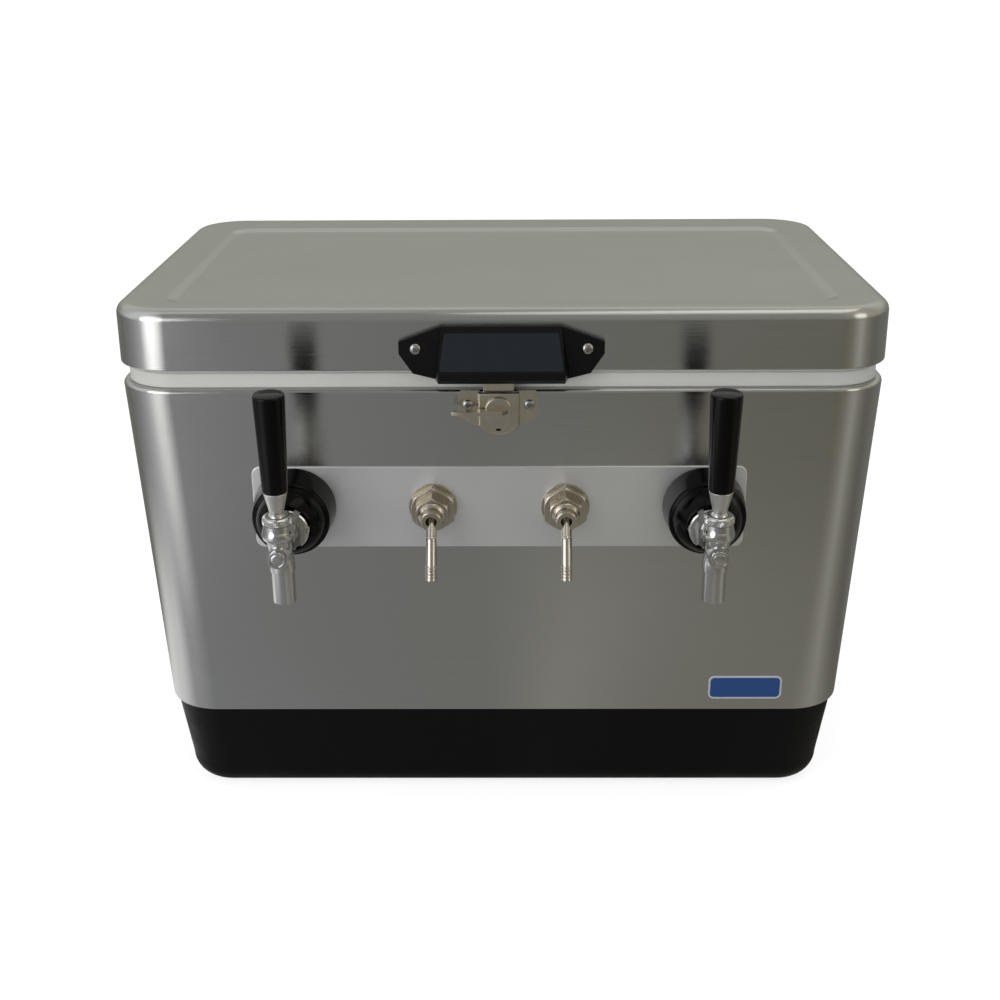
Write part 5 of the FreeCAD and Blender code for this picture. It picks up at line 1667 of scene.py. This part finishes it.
@dataclass
class Faucets(SubAssembly):
    """The two lever faucets.

    Attributes:
        across: X of each faucet.
        bell: Radius at the plate, at the side's end and at the mouth.
        bell_span: Heights of the side's end, the front and the seat inside.
        shank: Radius of the shank.
        lever_nut: Radius, foot and top of the knurled nut.
        ball_pivot: Height of the lever's ball.
        ball: Radius of the ball.
        stem: Radius of the lever's stem.
        handle: Radius at the foot and at the head.
        handle_span: Where the ferrule, the handle and its head are.
        spout: How far the spout stands out of the plate, and its radius.
        plug: Radius, back and front of the barrel's plug.
    """

    across: float = 163.8
    bell: Triple = (33.0, 30.8, 17.6)
    bell_span: Triple = (24.5, 44.5, 33.0)
    shank: float = 11.1
    lever_nut: Triple = (11.3, 24.4, 31.0)
    ball_pivot: float = 28.0
    ball: float = 7.0
    stem: float = 3.08
    handle: Corner = (9.5, 11.9)
    handle_span: Triple = (34.0, 50.0, 126.5)
    spout: Corner = (77.5, 9.0)
    plug: Triple = (6.75, 97.5, 101.0)

    def make(self) -> None:
        """Make both faucets and their levers."""
        port, lever = self.places.port(self.across), self.places.lever(self.across)
        down = port @ stand((0, 0, self.spout[0]), -90)
        middle = self.places.front_x
        self.shop.build("domed_bells", self.dome().moved(port).pair(middle), Body.COOLER,
                        Finishes.BELL_ABS, ["shank_bells"], sharp=35)
        self.shop.ease("coupling_nuts", Body.COOLER, Finishes.CHROME_TURNED, 0.4)
        self.shop.ease("faucet_bodies", Body.COOLER, Finishes.CHROME, 0.8)
        for name, form, finish, nodes in (
                ("cast_spout_necks", self.neck().moved(down), Finishes.CHROME, []),
                ("domed_barrel_plugs", self.barrel_plug().moved(port), Finishes.CHROME_TURNED,
                 ["barrel_plugs"]),
                ("knurled_lever_nuts", self.knurled_nut().moved(lever), Finishes.CHROME_TURNED,
                 ["lever_nuts"])):
            self.shop.build(name, form.pair(middle), Body.COOLER, finish, nodes)
        self.shop.carry(Finishes.NICKEL, "shanks", "shank_locknuts")
        for side, body in (("right", Body.RIGHT_LEVER), ("left", Body.LEFT_LEVER)):
            for title, form, finish, node in (
                    ("turned_ferrule", self.ferrule(), Finishes.FERRULE, "ferrule"),
                    ("pull_handle", self.pull(), Finishes.HANDLE_PHENOLIC, "tap_handle")):
                form = form.moved(lever)
                self.shop.build(f"{side}_{title}", form if side == "right" else
                                form.mirrored(middle), body, finish, [f"{side}_{node}"],
                                sharp=TURNED)
            self.shop.carry(Finishes.CHROME_TURNED, f"{side}_lever_stem")
            self.shop.carry(Finishes.PLUNGER_STEEL, f"{side}_plunger")
            self.shop.carry(Finishes.RUBBER, f"{side}_plunger_seal")

    def dome(self) -> Form:
        """Mould the bell: a drafted side, a round shoulder, a dome and a mouth for the nut.

        Returns:
            A bell, with z out of the plate.
        """
        foot, waist, mouth = self.bell
        side, front, seat = self.bell_span
        bore = self.shank + 0.2
        shoulder = arc((waist - 4.0, side), 4.0, 0, 76, 10)
        dome = arc((mouth - 23.4, front - 23.5), 34.0, 13.6, 43.2, 14)
        return lathe([(bore, 0), (foot - 0.5, 0), (foot, 0.6), (foot, 1.4), *shoulder, *dome,
                      (mouth + 0.7, front + 0.1), (mouth, front - 0.6), (mouth, seat),
                      (bore, seat)], 96, hollow=True)

    def neck(self) -> Form:
        """Cast the low collar round the spout, where it leaves the barrel.

        Returns:
            A collar, with z down the spout.
        """
        radius = self.spout[1]
        inside = radius - 0.3
        return lathe([(inside, -18.5), (radius + 0.5, -18.5), (radius + 0.85, -18.1),
                      (radius + 0.8, -13), (radius + 0.3, -9), (inside, -9)], 72, hollow=True)

    def barrel_plug(self) -> Form:
        """Turn the barrel's front plug, with a low dome inside a groove.

        Returns:
            A plug, with z out of the plate.
        """
        radius, back, front = self.plug
        return lathe([(0, back), (radius, back), (radius, front - 0.8), (6.3, front - 0.1),
                      (5.4, front), (5.1, front - 0.6), (4.8, front - 0.7), (4.4, front - 0.4),
                      (3.0, front - 0.05), (1.5, front), (0, front)], 64)

    def knurled_nut(self) -> Form:
        """Turn the nut that holds the lever's ball, with a diamond knurled band.

        Returns:
            A nut, with z up the lever.
        """
        radius, low, high = self.lever_nut
        rise = high - self.ball_pivot
        mouth = math.sqrt((self.ball + 0.08) ** 2 - rise ** 2)
        bore = self.ball + 1.4
        barrel = lathe([(bore, low), (radius - 1.3, low), (radius - 0.5, low + 0.7),
                        (radius - 0.55, high - 1.5), (radius - 0.7, high - 1.1),
                        (radius - 1.7, high - 0.3), (radius - 2.4, high),
                        (mouth, high), (mouth, high - 1.0), (bore, high - 2 * rise)], 96,
                       hollow=True)
        knurl = self.repeats.knurl.grow(Finishes.CHROME_TURNED, Count=36, Radius=radius - 0.6,
                                        Rows=4, Rise=0.95, Width=0.94, Depth=0.65)
        return barrel.join(knurl.moved(stand((0, 0, low + 1.2))))

    def ferrule(self) -> Form:
        """Turn the ferrule under the handle.

        Returns:
            A ferrule, with z up the lever.
        """
        low, high, _ = self.handle_span
        rim = self.handle[0] - 0.4
        return lathe([(self.stem, low), (5.2, low), (5.6, low + 0.4), (5.9, low + 2.4),
                      (rim - 0.2, high - 0.8), (rim, high - 0.3), (rim - 0.2, high),
                      (self.stem, high)], 64, hollow=True)

    def pull(self) -> Form:
        """Turn the handle: a long taper with a round shoulder and a slightly domed end.

        Returns:
            A handle, with z up the lever.
        """
        foot, head = self.handle
        _, low, high = self.handle_span
        shoulder = arc((head - 1.7, high - 2.3), 1.7, 0, 75, 6)
        return lathe([(self.stem, low), (foot - 0.6, low), (foot, low + 0.7),
                      (foot + 0.05, low + 2), (head, high - 6), *shoulder,
                      (head - 2.1, high - 0.7), (head - 2.5, high - 0.75),
                      (head - 2.9, high - 0.5), (head - 6, high - 0.2), (head - 9, high - 0.05),
                      (0, high), (0, low + 12), (self.stem, low + 12)], 72, hollow=True)


@dataclass
class Inlets(SubAssembly):
    """The two bulkhead fittings where the keg lines come in.

    Attributes:
        across: X of each inlet.
        flange: Radius and thickness of the washer.
        wide: Size across the flats, back and front of the large hexagon.
        small: The same of the small hexagon.
        collar: Radius and front of the fitting's collar.
        tail: Radius and end of the fitting's tail through the wall.
        elbow: Radius and bore of the elbow's tube.
        reach: How far the elbow stands out.
        bend: Radius of the elbow's bend.
        drop: How far its tail hangs down.
        grooves: Count, spacing and bead of the hose tail's rings.
    """

    across: float = 53.0
    flange: Corner = (19.5, 2.0)
    wide: Triple = (34.0, 2.0, 10.0)
    small: Triple = (25.5, 10.0, 20.0)
    collar: Corner = (8.5, 32.0)
    tail: Corner = (8.0, -58.0)
    elbow: Corner = (4.4, 3.2)
    reach: float = 49.7
    bend: float = 14.0
    drop: float = 42.0
    grooves: tuple[int, float, float] = (5, 2.6, 0.35)

    def make(self) -> None:
        """Make both inlets, and dress what is behind the wall."""
        place = self.places.port(self.across)
        radius, sheet = self.flange
        hole = self.tail[0] + 0.3
        washer = lathe([(hole, 0), (radius - 0.2, 0), (radius, 0.3), (radius, 1.3),
                        (radius - 0.3, 1.8), (radius - 1.0, sheet), (hole, sheet)], 80,
                       hollow=True)
        across, back, front = self.wide
        large = nut(across, self.tail[0] + 0.25, back, front, 2.6)
        for title, form, finish, node, edge in (
                ("plated_washers", washer, Finishes.NICKEL, "inlet_washers", 0.0),
                ("wide_hexagons", large, Finishes.NICKEL, "inlet_nuts", 0.3),
                ("bored_fittings", self.fitting(), Finishes.NICKEL, "inlet_fittings", 0.25),
                ("grooved_elbows", self.hose_end(), Finishes.NICKEL_TUBE, "inlet_elbows", 0.0)):
            self.shop.build(title, form.moved(place).pair(self.places.front_x), Body.COOLER,
                            finish, [node], edge, sharp=25)
        self.shop.carry(Finishes.NICKEL, "inlet_locknuts")

    def fitting(self) -> Form:
        """Turn the fitting: a hexagon and a collar on a long bored tail.

        Returns:
            A fitting, with z out of the plate.
        """
        radius, front = self.collar
        across, back, face = self.small
        tail, end = self.tail
        bore = self.elbow[0] + 0.05
        body = lathe([(bore, end), (tail - 0.6, end), (tail, end + 0.8), (tail, back + 0.5),
                      (11, face - 0.5), (11, face + 0.6), (10.4, face + 1.6),
                      (radius, face + 3), (radius, front - 1.2), (radius - 0.3, front - 0.5),
                      (radius - 1, front), (bore, front)], 64, hollow=True)
        return body.join(nut(across, tail, back, face, 1.6))

    def hose_end(self) -> Form:
        """Bend the elbow, and bead the end that a hose is pushed over.

        Returns:
            An elbow, with z out of the plate.
        """
        radius, bore = self.elbow
        count, pitch, bead = self.grooves
        path = route([Vector((0, 0, 22)), Vector((0, 0, self.reach)),
                      Vector((0, -self.drop, self.reach))], self.bend, 16)
        rings = self.repeats.rings.grow(Finishes.NICKEL_TUBE, Count=count, Radius=radius - 0.1,
                                        Spacing=pitch, Wire=bead, Steps=32, Sides=8)
        foot = stand((0, 1.4 - self.drop, self.reach), -90)
        return pipe(path, radius, bore, 28).join(rings.moved(foot))


@dataclass
class Cooling(SubAssembly):
    """The two coils in the ice, with their straps and tubes.

    Attributes:
        foot: Foot of the right coil's axis, at its lowest turn.
        radius: Radius of a coil.
        high: Height of the highest turn.
        tube: Radius of the tube.
        turns: Turns of a coil.
    """

    foot: Triple = (142.4, 45.0, 66.0)
    radius: float = 92.0
    high: float = 286.2
    tube: float = 4.0
    turns: float = 27.0

    def make(self) -> None:
        """Wind the coils, and dress the rest."""
        coil = self.repeats.wire.grow(
            Finishes.COIL_TUBE, Turns=self.turns, Radius=self.radius,
            Height=self.high - self.foot[2], Wire=self.tube - 0.05, Steps=72, Sides=12)
        self.shop.build("wound_coils", coil.moved(stand(self.foot)).pair(self.places.front_x),
                        Body.COOLER, Finishes.COIL_TUBE, ["cooling_coils"], sharp=60)
        self.shop.carry(Finishes.STRAP, "coil_straps")
        self.shop.carry(Finishes.COIL_TUBE, "outlet_tubes", "inlet_tubes")
        self.shop.carry(Finishes.NICKEL, "tail_nuts")


@dataclass
class Badge(SubAssembly):
    """A plain badge low on the right, with a pale border round a blue face.

    Attributes:
        size: Length, height and corner radius.
        spot: Height on the wall and distance along it.
        border: Width of the border.
        rise: Thickness of the badge.
    """

    size: Triple = (62.0, 22.0, 5.0)
    spot: Corner = (106.0, 205.0)
    border: float = 1.6
    rise: float = 0.8

    def make(self) -> None:
        """Make the border and the enamelled face."""
        height, along = self.spot
        place, outline = self.places.wall(0, height, along), Plan(*self.size)
        edge, rise = self.border, self.rise
        frame = loft(outline.rings([(0, 0), (0, rise - 0.3), (0.3, rise), (edge - 0.2, rise),
                                    (edge, rise - 0.2), (edge, 0)]), closed=True)
        face = loft(outline.rings([(edge + 0.02, 0), (edge + 0.02, rise - 0.4),
                                   (edge + 0.5, rise - 0.1), (edge + 2, rise)]))
        self.shop.build("badge_border", frame.moved(place), Body.COOLER, Finishes.BADGE_EDGE,
                        ["front_badge"])
        self.shop.build("badge_face", face.moved(place), Body.COOLER, Finishes.BADGE_FACE)


# ---------------------------------------------------------------- floor, light and camera

def around(tree: NodeTree, place: NodeSocket, stops: Stops, rear: str,
           turn: float = 0.35) -> Node:
    """Draw colours round the chest, from its left over its front to its right.

    Args:
        tree: A node tree.
        place: Where a point lies, or which way a ray goes.
        stops: Colours with the sine of their direction, from left to right.
        rear: The colour behind the chest.
        turn: Cosine of the direction where the rear's colour is full.

    Returns:
        The node that mixes the colour.
    """
    level = add_node(tree, "ShaderNodeVectorMath", {0: place, 1: (1, 1, 0)},
                     operation="MULTIPLY")
    way = add_node(tree, "ShaderNodeVectorMath", {0: level}, operation="NORMALIZE")
    split = add_node(tree, "ShaderNodeSeparateXYZ", {"Vector": way})
    first, last = stops[0][0], stops[-1][0]
    across = add_node(tree, "ShaderNodeMapRange", {
        "Value": split.outputs["X"], "From Min": first, "From Max": last})
    ramp = add_node(tree, "ShaderNodeValToRGB", {"Fac": across})
    elements = ramp.color_ramp.elements
    for _ in stops[2:]:
        elements.new(0.5)
    for element, (sine, colour) in zip(elements, stops):
        element.position = (sine - first) / (last - first)
        element.color = linear(colour)
    behind = add_node(tree, "ShaderNodeMapRange", {
        "Value": split.outputs["Y"], "From Min": -0.15, "From Max": turn},
        interpolation_type="SMOOTHSTEP")
    return add_node(tree, "ShaderNodeMix", {0: behind, 6: ramp, 7: linear(rear)},
                    data_type="RGBA")


@dataclass(frozen=True)
class Lamp:
    """A soft elliptical lamp, turned towards a point.

    Attributes:
        name: The lamp's name.
        spot: Where it hangs, in metres.
        target: What it faces.
        size: Width and height of its face.
        power: Its power in watts.
    """

    name: str
    spot: Triple
    target: Triple
    size: Corner
    power: float

    def hang(self) -> None:
        """Hang the lamp."""
        light = bpy.data.lights.new(self.name, "AREA")
        light.shape = "ELLIPSE"
        light.size, light.size_y = self.size
        light.energy = self.power
        lamp = as_object(self.name, light)
        lamp.location = self.spot
        way = Vector(self.target) - Vector(self.spot)
        lamp.rotation_euler = way.to_track_quat("-Z", "Y").to_euler()


@dataclass
class Studio:
    """A pale floor, soft light and the camera.

    Attributes:
        floor: Half the floor's size, in metres.
        lift: How far the floor glows for the camera.
        paper: The floor's colour.
        painted_floor_reflections: Painted reflections: colours that the floor glows with in
            mirrors only, from the left to the right of the chest, with bright bands for lamps and
            greys for the room's shade.
        painted_floor_reflections_near: The same painted reflections close to the chest.
        painted_floor_reflection_rear: The floor's painted reflection colour in mirrors behind the
            chest.
        reach: How far from the middle the near painted reflections end and the far ones start.
        room: How bright the room lights the chest.
        walls: The room's colours in mirrors, from the left to the right of the chest.
        walls_rear: The room's colour in mirrors behind the chest.
        walls_turn: Cosine of the direction where that colour is full.
        walls_high: The room's colour high up behind the chest.
        high: Sines of the heights where that colour starts and is full.
        high_turn: Cosines of the directions where it starts and is full.
        lamps: The soft lamps.
        focal: The camera's focal length, in widths of its frame.
        eye: Where the camera stands, in millimetres.
        pitch: How far it looks down, in radians.
        pan: How far it looks to the right.
        roll: How far it leans.
    """

    floor: float = 12.0
    lift: float = 0.8
    paper: str = "#B9B9B9"
    # painted reflections: colours that the floor glows with in mirrors only; the white bands
    # stand in for lamps, the greys for the room's shade
    painted_floor_reflections: Stops = (
        (-1.0, "#949396"), (-0.88, "#D0CFD2"), (-0.78, "#F8F8FA"), (-0.68, "#FFFFFF"),
        (-0.56, "#CFCED1"), (-0.42, "#98989B"), (0.0, "#80807E"), (0.48, "#767264"),
        (0.68, "#88847A"), (0.84, "#AAA79D"), (1.0, "#74716A"))
    painted_floor_reflections_near: Stops = (
        (-1.0, "#FFFFFF"), (-0.93, "#F4F4F6"), (-0.84, "#A8A8AA"), (-0.68, "#939396"),
        (-0.35, "#8B8B8A"), (-0.05, "#8A8986"), (0.15, "#9E9C97"), (0.4, "#8E8C85"),
        (0.65, "#8A877E"), (0.85, "#A4A198"), (1.0, "#706D66"))
    painted_floor_reflection_rear: str = "#7C7C77"
    reach: Corner = (0.6, 1.0)
    room: float = 0.52
    walls: Stops = ((-0.95, "#F0F0F4"), (-0.5, "#969696"), (0.3, "#9A9995"), (0.85, "#BDB6A4"))
    walls_rear: str = "#96988C"
    walls_turn: float = 0.95
    walls_high: str = "#D8D9D2"
    high: Corner = (0.16, 0.44)
    high_turn: Corner = (0.1, 0.6)
    lamps: tuple[Lamp, ...] = (
        Lamp("soft_top", (0.6, -0.5, 2.3), (0.05, 0, 0.2), (2.0, 0.9), 3.6),
        Lamp("soft_left", (-1.06, -1.24, 0.62), (0, 0, 0.25), (1.25, 1.3), 7.0),
        Lamp("soft_right", (2.2, -1.6, 1.2), (0, 0, 0.25), (1.2, 1.6), 5.0))
    focal: float = 1.4528909
    eye: Triple = (8.6732, -1284.5097, 694.279)
    pitch: float = 0.3638
    pan: float = -0.0097
    roll: float = 0.0054

    def make(self) -> None:
        """Lay the floor, hang the lamps and stand the camera."""
        self.lay_floor()
        self.light_world()
        for lamp in self.lamps:
            lamp.hang()
        self.stand_camera()
        bpy.context.scene.view_settings.view_transform = "Standard"

    def lay_floor(self) -> None:
        """Lay a plain pale floor that keeps the chest's shadow and reads as white, and that glows
        in mirrors with painted reflections.
        """
        mesh = bpy.data.meshes.new("studio_floor")
        mesh.from_pydata([(x * self.floor, y * self.floor, 0) for x, y in
                          ((-1, -1), (1, -1), (1, 1), (-1, 1))], [], [(0, 1, 2, 3)])
        material = bpy.data.materials.new("pale_paper_floor")
        material.use_nodes = True
        tree = material.node_tree
        path = add_node(tree, "ShaderNodeLightPath").outputs
        mirrored = add_node(tree, "ShaderNodeMath", {
            0: path["Is Glossy Ray"], 1: path["Is Transmission Ray"]}, operation="MAXIMUM")
        paper = add_node(tree, "ShaderNodeMix", {
            0: mirrored, 6: linear(self.paper), 7: (0, 0, 0, 1)}, data_type="RGBA")
        glow = add_node(tree, "ShaderNodeMath", {
            0: path["Is Camera Ray"], 1: self.lift, 2: mirrored}, operation="MULTIPLY_ADD")
        place = add_node(tree, "ShaderNodeNewGeometry").outputs["Position"]
        # painted reflections: ramps of colour round the chest that mirrors see on the floor, near
        # and far
        far, near = (around(tree, place, stops, self.painted_floor_reflection_rear)
                     for stops in (self.painted_floor_reflections, self.painted_floor_reflections_near))
        distance = add_node(tree, "ShaderNodeVectorMath", {0: place}, operation="LENGTH")
        away = add_node(tree, "ShaderNodeMapRange", {
            "Value": distance, "From Min": self.reach[0], "From Max": self.reach[1]},
            interpolation_type="SMOOTHSTEP")
        mirror = add_node(tree, "ShaderNodeMix", {0: away, 6: near, 7: far}, data_type="RGBA")
        # mirror rays see the painted reflection colours as the floor's glow, in place of its
        # paper
        painted_reflection_glow = add_node(tree, "ShaderNodeMix", {
            0: mirrored, 6: (1, 1, 1, 1), 7: mirror}, data_type="RGBA")
        connect(tree.nodes["Principled BSDF"], {
            "Base Color": paper, "Roughness": 1.0, "Specular IOR Level": 0.0,
            "Emission Strength": glow, "Emission Color": painted_reflection_glow})
        mesh.materials.append(material)
        as_object("studio_floor", mesh)

    def light_world(self) -> None:
        """Make a room that is white to look at, and coloured only in mirrors."""
        world = bpy.data.worlds.new("soft_room")
        world.use_nodes = True
        tree = world.node_tree
        way = add_node(tree, "ShaderNodeTexCoord").outputs["Generated"]
        low = around(tree, way, self.walls, self.walls_rear, self.walls_turn)
        split = add_node(tree, "ShaderNodeSeparateXYZ", {"Vector": way}).outputs
        behind = add_node(tree, "ShaderNodeMapRange", {
            "Value": split["Y"], "From Min": self.high_turn[0], "From Max": self.high_turn[1]})
        high = add_node(tree, "ShaderNodeMapRange", {
            "Value": split["Z"], "From Min": self.high[0], "From Max": self.high[1],
            "To Max": behind})
        mirror = add_node(tree, "ShaderNodeMix", {
            0: high, 6: low, 7: linear(self.walls_high)}, data_type="RGBA")
        path = add_node(tree, "ShaderNodeLightPath").outputs
        seen = add_node(tree, "ShaderNodeMath", {
            0: path["Is Camera Ray"], 1: path["Is Transmission Ray"]}, operation="MAXIMUM")
        white = add_node(tree, "ShaderNodeMix", {
            0: seen, 6: (self.room, self.room, self.room, 1), 7: (1, 1, 1, 1)},
            data_type="RGBA")
        colour = add_node(tree, "ShaderNodeMix", {
            0: path["Is Glossy Ray"], 6: white, 7: mirror}, data_type="RGBA")
        connect(tree.nodes["Background"], {"Color": colour})
        bpy.context.scene.world = world

    def stand_camera(self) -> None:
        """Stand the camera where the front and the top of the lid both show."""
        sine, cosine = math.sin(self.pan), math.cos(self.pan)
        ahead = Vector((sine * math.cos(self.pitch), cosine * math.cos(self.pitch),
                        -math.sin(self.pitch)))
        right = Vector((cosine, -sine, 0))
        down = ahead.cross(right)
        lean, upright = math.sin(self.roll), math.cos(self.roll)
        across = upright * right + lean * down
        under = -lean * right + upright * down
        camera = bpy.data.cameras.new("camera")
        camera.sensor_width = 36.0
        camera.lens = self.focal * camera.sensor_width
        camera.clip_start = 0.01
        tripod = as_object("camera", camera)
        turn = Matrix((across, -under, -ahead)).transposed().to_4x4()
        tripod.matrix_world = Matrix.Translation(Vector(self.eye) * METRE) @ turn
        bpy.context.scene.camera = tripod


# ---------------------------------------------------------------- the whole


def main() -> None:
    """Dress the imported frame."""
    logging.basicConfig(level=logging.INFO, format="%(message)s")
    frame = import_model()
    shop, repeats, places = Workshop(frame["nodes"]), Repeats(), Places()
    for kind in (Chest, Lid, Grip, Latch, Hinges, Bails, Drain, Faucets, Inlets, Cooling, Badge):
        LOG.info("making %s", kind.__name__)
        kind(shop, repeats, places).make()
    Studio().make()


if __name__ == "__main__":
    main()
